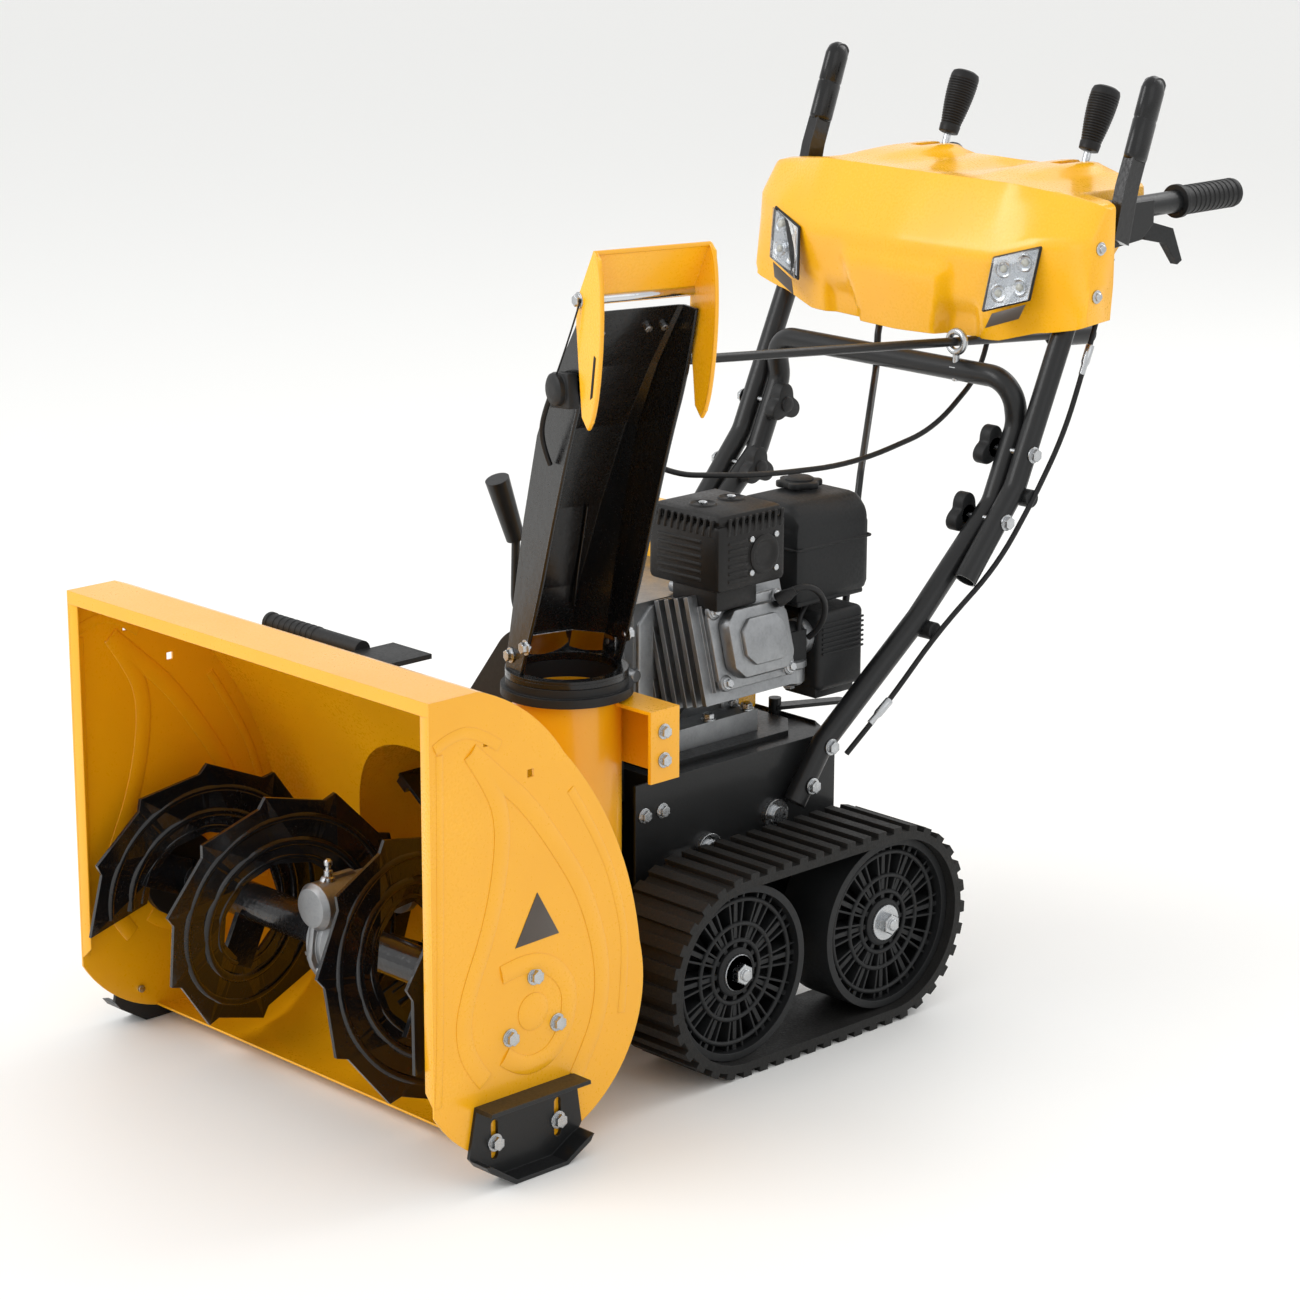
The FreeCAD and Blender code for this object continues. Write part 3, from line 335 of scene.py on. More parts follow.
def turnedPiece(name, base, axis, profile, segments=40):
    # a profile of (radius, height) rings in mm, from height 0 at the base, is raised by extrude and resize
    deselectAll()
    bpy.ops.mesh.primitive_circle_add(vertices=segments, radius=profile[0][0] / 1000, fill_type="NGON")
    piece = hold(bpy.context.object, name)
    bpy.ops.object.mode_set(mode="EDIT")
    bpy.ops.mesh.select_all(action="SELECT")
    for (wide, low), (wider, high) in zip(profile, profile[1:]):
        bpy.ops.mesh.extrude_region_move(TRANSFORM_OT_translate={"value": (0, 0, (high - low) / 1000)})
        bpy.ops.transform.resize(value=(wider / wide, wider / wide, 1))
    bpy.ops.object.mode_set(mode="OBJECT")
    piece.rotation_euler = Vector(axis).to_track_quat("Z", "Y").to_euler()
    piece.location = base
    deselectAll()
    piece.select_set(True)
    bpy.context.view_layer.objects.active = piece
    bpy.ops.object.transform_apply(location=True, rotation=True, scale=True)
    return recalculated(piece)


def cable(name, points, radius, flatten=None, order=3, closed=False):
    # a NURBS line with a round section, made a mesh with closed ends
    line = bpy.data.curves.new(name, "CURVE")
    line.dimensions = "3D"
    line.bevel_depth = radius / 1000
    line.bevel_resolution = 3
    line.resolution_u = 8
    line.use_fill_caps = True
    spline = line.splines.new("NURBS")
    spline.points.add(len(points) - 1)
    for point, place in zip(spline.points, points):
        point.co = (*place, 1)
    spline.order_u = order
    spline.use_endpoint_u = not closed
    spline.use_cyclic_u = closed
    piece = bpy.data.objects.new(name, line)
    bpy.context.collection.objects.link(piece)
    deselectAll()
    piece.select_set(True)
    bpy.context.view_layer.objects.active = piece
    bpy.ops.object.convert(target="MESH")
    piece = bpy.context.object
    if flatten:
        middle, share = flatten
        for vertex in piece.data.vertices:
            vertex.co.x = middle + (vertex.co.x - middle) * share
    return recalculated(piece)


def twin(piece, name):
    # a copy on the other side of the machine, with its own mesh
    deselectAll()
    other = piece.copy()
    other.data = piece.data.copy()
    bpy.context.collection.objects.link(other)
    for vertex in other.data.vertices:
        vertex.co.x = -vertex.co.x
    hold(other, name)
    other.select_set(True)
    bpy.context.view_layer.objects.active = other
    bpy.ops.object.mode_set(mode="EDIT")
    bpy.ops.mesh.select_all(action="SELECT")
    bpy.ops.mesh.flip_normals()
    bpy.ops.object.mode_set(mode="OBJECT")
    return other


def picked(piece, mode, test):
    # in edit mode, only the faces or edges whose middle passes the test, in mm from the housing front
    deselectAll()
    piece.select_set(True)
    bpy.context.view_layer.objects.active = piece
    bpy.ops.object.mode_set(mode="EDIT")
    bpy.ops.mesh.select_mode(type=mode)
    bpy.ops.mesh.select_all(action="DESELECT")
    bpy.ops.object.mode_set(mode="OBJECT")
    places = [v.co * 1000 + Vector((0, setback, 0)) for v in piece.data.vertices]
    for item in piece.data.polygons if mode == "FACE" else piece.data.edges:
        item.select = test(sum((places[n] for n in item.vertices), Vector()) / len(item.vertices))
    bpy.ops.object.mode_set(mode="EDIT")


def gridSkin(name, columns):
    # a grid primitive laid over measured cross sections; columns are lists of places
    across, along = len(columns), len(columns[0])
    deselectAll()
    bpy.ops.mesh.primitive_grid_add(x_subdivisions=along - 1, y_subdivisions=across - 1, size=1)
    piece = hold(bpy.context.object, name)
    for number, vertex in enumerate(piece.data.vertices):
        vertex.co = columns[number // along][number % along]
    return piece


# side plates: pressed ribs round the bearing, label and folded front edge
plateWork = dict(face=286.0, rib=10, height=0.2,
                 outer=[(50, 435), (84, 403), (121, 370), (162, 315), (192, 268), (211, 216), (218, 174), (215, 141),
                        (204, 110), (182, 76)],
                 inner=[(50, 435), (78, 395), (90, 357), (85, 306), (70, 251), (45, 199), (36, 162), (44, 127),
                        (64, 103)],
                 ring=[(86, 205), (115, 211), (149, 202), (172, 176), (174, 148), (161, 118), (140, 104), (110, 104),
                       (89, 121)],
                 rim=[(176, 372), (218, 308), (243, 235), (250, 182), (243, 126)],
                 crease=[(6, 446), (24, 455), (56, 456), (86, 434)],
                 fold=[(12, 440), (11, 292), (8, 130), (5, 92)],
                 slimmer=dict(rim=0.5, crease=0.6, fold=0.45), sheet=2.5,
                 label=[(132.4, 278), (160.4, 230), (103.6, 228)])
for side, hand in ((1, "Left"), (-1, "Right")):
    for face, tag in ((plateWork["face"], "Outer"), (plateWork["face"] - plateWork["sheet"], "Inner")):
        ribs = []
        for part in ("outer", "inner", "ring", "rim", "crease", "fold"):
            wide = plateWork["rib"] * plateWork["slimmer"].get(part, 1)
            ribs.append(cable(part, [at(face, y, z) for y, z in plateWork[part]], wide,
                              (face / 1000, plateWork["height"])))
        pressing = joined(ribs, "sidePressing" + tag + hand)
        if side < 0:
            flipped = twin(pressing, pressing.name)
            bpy.data.objects.remove(pressing)
            pressing = hold(flipped, "sidePressing" + tag + hand)
        settle(pressing, "chassis", "yellowPowderCoat", 60)
    label = slab("sideLabel" + hand, [at(side * plateWork["face"], y, z) for y, z in plateWork["label"]],
                 0.6, (side, 0, 0), 0.0002)
    settle(label, "chassis", "labelFilm")
    lip = slab("frontLip" + hand,
               [at(side * 283.5, 0, 92), at(side * 283.5, 0, 490),
                at(side * 271, 1.5, 478), at(side * 271, 1.5, 104)],
               2, (0, 1, 0), 0.0006)
    settle(lip, "chassis", "yellowPowderCoat")
topFold = cable("topFold", [at(x, 8, 488.5) for x in (-276, -120, 0, 120, 276)], 3.2)
settle(topFold, "chassis", "yellowPowderCoat", 60)
print("side plates pressed")

# augers: pressed ribs (radius, thickness) along each toothed ribbon
augerWork = dict(turns=1.75, start=30, length=232, lead=20, steps=72, axis=(126, 158),
                 ribs=((82, 6), (108, 5), (66, 3.4)))
augerY, augerZ = augerWork["axis"]
for side, hand in ((1, "Left"), (-1, "Right")):
    strands = []
    for radius, thick in augerWork["ribs"]:
        line = []
        for step in range(augerWork["steps"]):
            share = (step + 1) / (augerWork["steps"] + 1)
            angle = 2 * math.pi * augerWork["turns"] * share + math.radians(augerWork["lead"])
            # the ribbon is turned about Z, then laid over so that Z becomes X and X becomes -Z
            line.append(at(augerWork["start"] + share * augerWork["length"] + 2,
                           augerY + radius * math.sin(angle), augerZ - radius * math.cos(angle)))
        strands.append(cable("strand", line, thick))
    ribs = joined(strands, "augerRibs" + hand)
    if side < 0:
        flipped = twin(ribs, "augerRibsRight")
        bpy.data.objects.remove(ribs)
        ribs = hold(flipped, "augerRibsRight")
    settle(ribs, "auger_rotor", "glossBlackEnamel", 60)
print("augers ribbed")

# console: one moulded skin over its cross sections, with slots for the levers
consoleWork = dict(wall=2.5, hump=10, valley=9, slot=(97.5, 114.5, 1084, 1143))
consoleSections = [(252, (968, 716), (980, 812), (1002, 840), (1012, 843, 716)),
                   (244, (966, 712), (968, 808), (994, 846), (1016, 848, 714)),
                   (206, (960, 704), (951, 806), (990, 853), (1018, 852, 712)),
                   (196, (959, 703), (947, 804), (987, 854), (1018, 852, 712)),
                   (190, (958, 702), (945, 803), (985, 855), (1146, 846, 830)),
                   (142, (950, 688), (934, 784), (968, 862), (1146, 858, 838)),
                   (0, (946, 684), (926, 786), (966, 862), (1146, 858, 838))]


def consoleSection(x):
    wide = abs(x)
    for (outer, *far), (inner, *near) in zip(consoleSections, consoleSections[1:]):
        if inner <= wide <= outer:
            share = (outer - wide) / (outer - inner)
            return [tuple(a + (b - a) * share for a, b in zip(p, q)) for p, q in zip(far, near)]
    return consoleSections[-1][1:]


def consoleColumn(x):
    low, front, top, back = consoleSection(x)
    corners = [low, front, top, back[:2], (back[0], back[2])]
    line = []
    for (y1, z1), (y2, z2), steps in zip(corners, corners[1:], (10, 7, 14, 3)):
        for step in range(steps + (steps == 3)):
            share = step / steps
            y, z = y1 + (y2 - y1) * share, z1 + (z2 - z1) * share
            if steps == 14:
                lane = math.exp(-((abs(x) - 106) / 32) ** 8) * math.sin(math.pi / 2 * min(1, share * 1.5))
                z += consoleWork["hump"] * lane * min(1, share * 4)
                z -= consoleWork["valley"] * math.exp(-(x / 26) ** 2) * min(1, share * 3)
            if steps == 10:
                panel = max(0, min(1, (62 - abs(x) + share * 26) / 5)) * max(0, min(1, (0.86 - share) * 9))
                y -= 8 * panel
                flare = max(0, min(1, (118 - abs(x)) / 8)) * max(0, min(1, (0.42 - share) * 8)) * (1 - panel)
                y += 8 * flare
            line.append(at(x, y, z))
    return line


stations = [252, 248, 240, 228, 214, 202, 197, 189, 180, 168, 155, 143, 134, 126, 119, 114.5, 110, 102, 97.5, 92, 84,
            76, 68, 62, 57, 50, 38, 26, 14]
stations = [-x for x in stations] + [0] + stations[::-1]
shell = gridSkin("consoleCover", [consoleColumn(x) for x in stations])
low, high, near, far = consoleWork["slot"]
picked(shell, "FACE", lambda p: low < abs(p.x) < high and near < p.y < far and p.z > 840)
bpy.ops.mesh.delete(type="FACE")
for end in (-252, 252):
    picked(shell, "EDGE", lambda p: abs(p.x - end) < 0.5)
    bpy.ops.mesh.edge_face_add()
applied(shell, "SMOOTH", factor=0.5, iterations=1)
recalculated(shell)
applied(shell, "SOLIDIFY", thickness=consoleWork["wall"] / 1000, offset=-1)
settle(shell, "chassis", "yellowMouldedAbs", 50, ["console"])
print("console moulded")

# work lamps: bezel, chromed dish with four emitters, clear cover, and a small plate below
lampWork = dict(corners=[(147.9, 934, 783.7), (200.5, 949.7, 799.7), (195, 939.6, 743), (141.1, 926, 725.5)],
                bulb=9.5)


def lampPoint(u, v, lift=0):
    a, b, c, d = [at(*corner) for corner in lampWork["corners"]]
    outward = (b - a).cross(d - a).normalized()
    if outward.y > 0:
        outward = -outward
    return (a * (1 - u) + b * u) * (1 - v) + (d * (1 - u) + c * u) * v + outward * lift / 1000


def lampNormal():
    return (lampPoint(0.5, 0.5, 1) - lampPoint(0.5, 0.5, 0)).normalized()


rims = [(0, 0), (1, 0), (1, 1), (0, 1)]
bezelPath = ((0, 0), (0.02, 0), (0.5, 0), (0.98, 0), (1, 0), (1, 0.02), (1, 0.5), (1, 0.98), (1, 1), (0.98, 1),
             (0.5, 1), (0.02, 1), (0, 1), (0, 0.98), (0, 0.5), (0, 0.02))
bezel = cable("bezel", [lampPoint(*p, 0.5) for p in bezelPath], 1.6, closed=True)
dish = slab("dish", [lampPoint(u, v, -1.5) for u, v in rims], 2, lampNormal(), 0.0004)
cups, bulbs = [], []
for u, v in ((0.28, 0.27), (0.72, 0.24), (0.27, 0.72), (0.71, 0.70)):
    wide = lampWork["bulb"]
    cups.append(turnedPiece("cup", lampPoint(u, v, 0), lampNormal(),
                            [(wide, 0), (wide, 1.8), (wide - 1, 2.2), (wide - 2.2, 0.9), (wide - 3.5, 0.6)], 28))
    bulbs.append(turnedPiece("bulb", lampPoint(u, v, 0.4), lampNormal(),
                             [(4.2, 0), (4.2, 1.2), (3.6, 2.2), (2.4, 3.0), (0.8, 3.4)], 20))
lampSide = [settle(hold(bezel, "lampBezelLeft"), "chassis", "satinBlackPowderCoat", 60),
            settle(joined([dish] + cups, "lampDishLeft"), "chassis", "vapourChromeDish"),
            settle(joined(bulbs, "lampEmittersLeft"), "chassis", "emitterPhosphor"),
            settle(slab("lampCoverLeft", [lampPoint(u, v, 4.2) for u, v in rims], 1.2, lampNormal(), 0.0004),
                   "chassis", "clearPolycarbonate"),
            settle(slab("lampPlateLeft", [lampPoint(u, v, 1.2) for u, v in
                                          ((0.22, 1.10), (0.95, 1.08), (0.86, 1.34), (0.13, 1.36))],
                        0.8, lampNormal(), 0.0002), "chassis", "labelFilm")]
for piece in lampSide:
    other = twin(piece, piece.name.replace("Left", "Right"))
    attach(other, "chassis")
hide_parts("lamps")
print("lamps fitted")

# lever knobs: ribbed rubber on chromed stems
leverWork = dict(foot=(1112, 800), base=(1139, 878), tip=(1171, 950), ribs=17)
for name, x, body in (("speed", -106, "speed_stick"), ("deflector", 106, "deflector_stick")):
    foot, base, tip = (at(x, *leverWork[part]) for part in ("foot", "base", "tip"))
    profile = [(9.5, 0), (11.5, 0.8), (12.2, 9), (11.8, 10)]
    for step in range(leverWork["ribs"]):
        low = 11 + step * 3.1
        wide = 11.6 + 5.6 * math.sin(math.pi / 2 * (step + 1) / leverWork["ribs"])
        profile += [(wide - 1.1, low), (wide, low + 0.7), (wide, low + 2.1), (wide - 1.1, low + 2.8)]
    profile += [(17.0, 64.5), (16.8, 69), (15.4, 73), (11.5, 75.2), (6, 76)]
    knob = turnedPiece(name + "Knob", base, tip - base, profile, 44)
    settle(knob, body, "softRubber", 40, [name + "_lever"])
    stem = turnedPiece(name + "Stem", foot, base - foot,
                       [(4.2, 0), (4.5, 1), (4.5, 30), (4.2, 31), (4.2, 60), (4.5, 61), (4.5, 80.5)], 28)
    settle(stem, body, "polishedChrome")
print("levers dressed")

# three lobed clamp knobs over the tube bolts
knobWork = dict(x=168, places=((880, 508), (922, 577)), reach=24.5, waist=14)
for number, (y, z) in enumerate(knobWork["places"]):
    outline = []
    for step in range(60):
        angle = 2 * math.pi * step / 60
        wave = 0.5 + 0.5 * math.cos(3 * (angle - math.pi / 2))
        wide = knobWork["waist"] + (knobWork["reach"] - knobWork["waist"]) * wave ** 0.8
        outline.append(at(knobWork["x"], y + wide * math.cos(angle), z + wide * math.sin(angle)))
    knob = slab("knob", outline, 15, (-1, 0, 0), 0.0025)
    boss = turnedPiece("boss", at(knobWork["x"] - 15, y, z), (-1, 0, 0), [(9, 0), (9, 2), (7, 3.4), (3, 3.6)], 28)
    knob = settle(joined([knob, boss], "clampKnobLeft" + str(number + 1)), "chassis", "grainedBlackNylon")
    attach(twin(knob, "clampKnobRight" + str(number + 1)), "chassis")

# engine: cast valve cover with its flange, raised lid and four bolts
coverWork = dict(lean=15, centre=(0, 555, 382), flange=154, dome=160, lid=179,
                 bolts=((-47, -38), (47, -38), (47, 38), (-47, 38)))
lean = Matrix.Rotation(-math.radians(coverWork["lean"]), 4, "Y")


def leaning(x, y, z):
    return at(*coverWork["centre"]) + lean @ (Vector((x, y, z)) / 1000)


def octagon(x, wide, tall, cut):
    return [leaning(x, y, z) for y, z in ((-wide, -tall + cut), (-wide + cut, -tall), (wide - cut, -tall),
            (wide, -tall + cut), (wide, tall - cut), (wide - cut, tall), (-wide + cut, tall), (-wide, tall - cut))]


outwardLean = lean @ Vector((1, 0, 0))
castings = [slab("flange", octagon(coverWork["flange"], 55, 46, 11), 5, outwardLean, 0.0018),
            slab("gasket", octagon(coverWork["flange"] - 2.5, 53.5, 44.5, 10), 2.5, outwardLean, 0.0004),
            slab("dome", octagon(coverWork["dome"] - 1.5, 45, 37, 13), 19, outwardLean, 0.006),
            slab("lid", octagon(coverWork["lid"] - 2.5, 32, 25, 12), 7.5, outwardLean, 0.003)]
for y, z in coverWork["bolts"]:
    castings.append(turnedPiece("lug", leaning(156, y, z), outwardLean,
                                [(8.5, 0), (8.5, 5), (7.2, 6.2), (4, 6.3)], 24))
settle(joined(castings, "valveCoverCasting"), "chassis", "dieCastAluminium", 40, ["valve_cover"])
screws = []
for y, z in coverWork["bolts"]:
    screws.append(turnedPiece("washer", leaning(162, y, z), outwardLean, [(6.4, 0), (6.4, 1.1), (5.9, 1.5)], 24))
    screws.append(turnedPiece("screw", leaning(163, y, z), outwardLean,
                              [(4.6, 0), (4.8, 0.6), (4.8, 4), (4.2, 4.8)], 6))
settle(joined(screws, "valveCoverScrews"), "chassis", "brightZincPlate", 25)

# crankcase dressing: side cover seam, drain and filler, base bolts
blockWork = dict(bolts=((474, 322), (606, 322)), feet=((486, 330), (600, 330)))
castings = [slab("seam", [at(66, y, z) for y, z in ((466, 316), (616, 316), (616, 400), (596, 458), (486, 458),
                         (466, 440))], 10, (1, 0, 0), 0.003)]
for y, z in blockWork["feet"]:
    castings.append(turnedPiece("foot", at(60, y, z), (1, 0, 0), [(13, 0), (13, 18), (11, 20), (6, 20.4)], 28))
castings.append(turnedPiece("filler", at(70, 512, 346), (1, 0, 0), [(16, 0), (16, 8), (13, 10), (8, 10.6)], 32))
for y, z in ((462, 385), (528, 470)):
    castings.append(turnedPiece("rib", at(64, y, z), (1, 0, 0), [(7, 0), (7, 12), (5.5, 13.5)], 20))
settle(joined(castings, "crankcaseCover"), "chassis", "dieCastAluminium", 40)
screws = []
for y, z in blockWork["bolts"] + blockWork["feet"]:
    screws.append(turnedPiece("screw", at(80, y, z), (1, 0, 0), [(5, 0), (5.4, 0.5), (5.4, 4.6), (4.6, 5.6)], 6))
for y in (470, 548, 606):
    screws.append(turnedPiece("washer", at(98, y, 325), (0, 0, 1), [(8, 0), (8, 1.4), (7.4, 1.9)], 24))
    screws.append(turnedPiece("screw", at(98, y, 326.5), (0, 0, 1), [(6, 0), (6.4, 0.6), (6.4, 5), (5.6, 6)], 6))
settle(joined(screws, "engineScrews"), "chassis", "brightZincPlate", 25)
cap = turnedPiece("fillerCap", at(80, 512, 346), (1, 0, 0), [(12, 0), (12.4, 1), (12.4, 7), (10, 8.5), (4, 9)], 12)
settle(cap, "chassis", "grainedBlackNylon")

# exhaust: pressed guard with louvres, dished bolt wells and a round outlet plate
guardWork = dict(box=(60, 494, 484, 166, 594, 568), slats=9)
x1, y1, z1, x2, y2, z2 = guardWork["box"]
outline = [at(x1, y1, z1), at(x2, y1, z1), at(x2, y2, z1), at(x1, y2, z1)]
guard = [slab("body", outline, z2 - z1 - 12, (0, 0, 1), 0.007)]
top = [at(x, y, z2 - 16) for x, y in ((x1 + 2, y1 + 2), (x2 - 2, y1 + 2), (x2 - 2, y2 - 2), (x1 + 2, y2 - 2))]
guard.append(slab("lid", top, 15, (0, 0, 1), 0.009))
for step in range(guardWork["slats"]):
    x = x1 + 14 + step * 9.6
    guard.append(slab("slat", [at(x, y1 - 1, z2 - 24), at(x + 4, y1 - 1, z2 - 24), at(x + 7, y1 - 1, z2 - 6),
                               at(x + 3, y1 - 1, z2 - 6)], 3, (0, 1, 0), 0.0008))
    y = y1 + 12 + step * 9.6
    guard.append(slab("slat", [at(x2 + 1, y, z2 - 24), at(x2 + 1, y + 4, z2 - 24), at(x2 + 1, y + 7, z2 - 6),
                               at(x2 + 1, y + 3, z2 - 6)], 3, (-1, 0, 0), 0.0008))
for step in range(6):
    z = z1 + 10 + step * 8
    guard.append(slab("vent", [at(x2 + 1.5, y1 + 14, z), at(x2 + 1.5, y1 + 42, z), at(x2 + 1.5, y1 + 42, z + 3.4),
                               at(x2 + 1.5, y1 + 14, z + 3.4)], 3, (-1, 0, 0), 0.0008))
    guard.append(slab("vent", [at(x1 + 16, y1 - 1.5, z), at(x2 - 26, y1 - 1.5, z), at(x2 - 26, y1 - 1.5, z + 3.4),
                               at(x1 + 16, y1 - 1.5, z + 3.4)], 3, (0, 1, 0), 0.0008))
guard.append(turnedPiece("outlet", at(x2 - 2, y2 - 34, z1 + 34), (1, 0, 0),
                         [(21, 0), (21, 4), (18, 5.2), (15, 4.4), (13, 2.6), (8, 2.2)], 40))
guard.append(slab("skirt", [at(x1 + 30, y1 + 6, z1 - 22), at(x2 - 8, y1 + 6, z1 - 22), at(x2 - 8, y1 + 6, z1 + 4),
                            at(x1 + 30, y1 + 6, z1 + 4)], 60, (0, 1, 0), 0.004))
for y in (y1 + 30, y1 + 72):
    guard.append(turnedPiece("well", at(112, y, z2 - 3.5), (0, 0, 1), [(15, 0), (15, 3.4), (13.4, 4.2), (11, 2.4),
                             (8, 1.4), (4, 1.2)], 36))
settle(joined(guard, "exhaustGuard"), "chassis", "stovePaint", 40, ["muffler"])
screws = [turnedPiece("screw", at(112, y, z2 - 2.5), (0, 0, 1), [(4.6, 0), (5, 0.5), (5, 4), (4.2, 4.8)], 6)
          for y in (y1 + 30, y1 + 72)]
for y, z in ((y2 - 52, z1 + 52), (y2 - 16, z1 + 52), (y2 - 52, z1 + 16), (y2 - 16, z1 + 16)):
    screws.append(turnedPiece("screw", at(x2 - 0.5, y, z), (1, 0, 0),
                              [(3, 0), (3.4, 0.6), (3.4, 2), (2.4, 2.8)], 20))
settle(joined(screws, "exhaustScrews"), "chassis", "brightZincPlate", 25)

# fuel tank: blow moulded, with shoulders, a parting seam and a ribbed cap
tankWork = dict(foot=(32, 642, 438, 136, 758), seam=500, shoulder=16)
x1, y1, z1, x2, y2 = tankWork["foot"]
inset = tankWork["shoulder"]
lower = slab("body", [at(x1, y1, z1), at(x2, y1, z1), at(x2, y2, z1), at(x1, y2, z1)], 90, (0, 0, 1), 0.012)
crown = slab("crown", [at(x, y1 + 2, z) for x, z in ((x1 + 1, 500), (x2 - 1, 500), (x2 - 1, 528), (x2 - inset, 547),
             (x1 + inset, 547), (x1 + 1, 528))], y2 - y1 - 4, (0, 1, 0), 0.009)
seam = cable("seam", [at(x, y, tankWork["seam"]) for x, y in ((x1 + 10, y1), (x2 - 10, y1), (x2, y1), (x2, y1 + 10),
             (x2, y2 - 10), (x2, y2), (x2 - 10, y2), (x1 + 10, y2), (x1, y2), (x1, y2 - 10), (x1, y1 + 10),
             (x1, y1))],
             1.4, closed=True)
foot = slab("foot", [at(x1 + 8, y1 + 6, z1 - 2), at(x2 - 4, y1 + 6, z1 - 2), at(x2 - 4, y2 - 8, z1 - 2),
                     at(x1 + 8, y2 - 8, z1 - 2)], 6, (0, 0, 1), 0.002)
settle(joined([lower, crown, seam, foot], "fuelTankShell"), "chassis", "grainedBlackNylon",
       40, ["fuel_tank"])
outline = []
for step in range(96):
    angle = 2 * math.pi * step / 96
    wide = 23.5 + 2.4 * math.copysign(abs(math.cos(6 * angle)) ** 0.4, math.cos(6 * angle))
    outline.append(at(66 + wide * math.cos(angle), 716 + wide * math.sin(angle), 549))
crownCap = slab("rim", outline, 7, (0, 0, 1), 0.0016)
middle = turnedPiece("middle", at(66, 716, 554), (0, 0, 1), [(16, 0), (16, 4), (13, 5.6), (5, 6)], 36)
settle(joined([crownCap, middle], "fuelCapRibbed"), "tank_cap", "grainedBlackNylon", 40,
       ["fuel_cap"])

# air cleaner ribs, spark lead, fuel hose, carburettor bowl
cleanerWork = dict(x=145.2, ends=(672, 736), top=414, step=5.4, ribs=7, rib=2.6)
x, (near, far) = cleanerWork["x"], cleanerWork["ends"]
ribs = []
for step in range(cleanerWork["ribs"]):
    z = cleanerWork["top"] - step * cleanerWork["step"]
    upper = z + cleanerWork["rib"]
    ribs.append(slab("rib", [at(x, near, z), at(x, far, z), at(x, far, upper), at(x, near, upper)],
                     2.2, (1, 0, 0), 0.0008))
ribs.append(slab("tab", [at(92, 669, 332), at(140, 669, 332), at(140, 669, 352), at(92, 669, 352)], 60,
                 (0, 1, 0), 0.003))
settle(joined(ribs, "airCleanerRibs"), "chassis", "grainedBlackNylon")
bowl = [turnedPiece("bowl", at(122, 646, 352), (0, 0, 1),
                    [(14, 0), (17, 3), (17, 18), (19, 20), (19, 26), (15, 28)], 36),
        turnedPiece("throat", at(118, 626, 400), (0, 1, 0),
                    [(19, 0), (19, 6), (16, 8), (16, 30), (20, 32), (20, 42)], 36),
        turnedPiece("nut", at(122, 646, 346), (0, 0, 1), [(6, 0), (6.4, 1), (6.4, 6)], 6)]
settle(joined(bowl, "carburettorBowl"), "chassis", "dieCastAluminium")
lead = cable("sparkLead", [at(168, 592, 470), at(178, 604, 478), at(180, 628, 470), at(176, 646, 448),
                           at(164, 650, 420), at(150, 646, 408)], 3.4)
boot = turnedPiece("boot", at(163, 584, 462), (0.6, 0.6, 0.5), [(7.5, 0), (8, 2), (7, 12), (5, 18), (4.2, 22)], 28)
settle(joined([lead, boot], "sparkLeadAndBoot"), "chassis", "softRubber", 60)
hose = cable("fuelHose", [at(120, 676, 436), at(124, 662, 428), at(132, 650, 420), at(134, 646, 396),
                          at(128, 646, 378)], 3)
settle(hose, "chassis", "softRubber", 60)
print("engine dressed")

# recoil starter: raised rings and slots on the fan cover
recoilWork = dict(centre=(-34, 698, 385), slots=12, spread=0.09)
x, y, z = recoilWork["centre"]
dish = turnedPiece("recoilDish", at(x, y - 2, z), (0, 1, 0),
                   [(66, 0), (66, 2.4), (62, 3.6), (40, 3.8), (38, 2.6), (10, 2.4)], 56)
settle(dish, "chassis", "yellowMouldedAbs")
spread = recoilWork["spread"]
slots = []
for step in range(recoilWork["slots"]):
    angle = 2 * math.pi * step / recoilWork["slots"] + 0.13
    corners = [(44, -spread), (60, -spread * 0.8), (60, spread * 0.8), (44, spread)]
    places = [at(x + r * math.cos(angle + a), y + 1.4, z + r * math.sin(angle + a)) for r, a in corners]
    slots.append(slab("slot", places, 0.9, (0, 1, 0), 0.0003))
settle(joined(slots, "recoilSlots"), "chassis", "stovePaint")

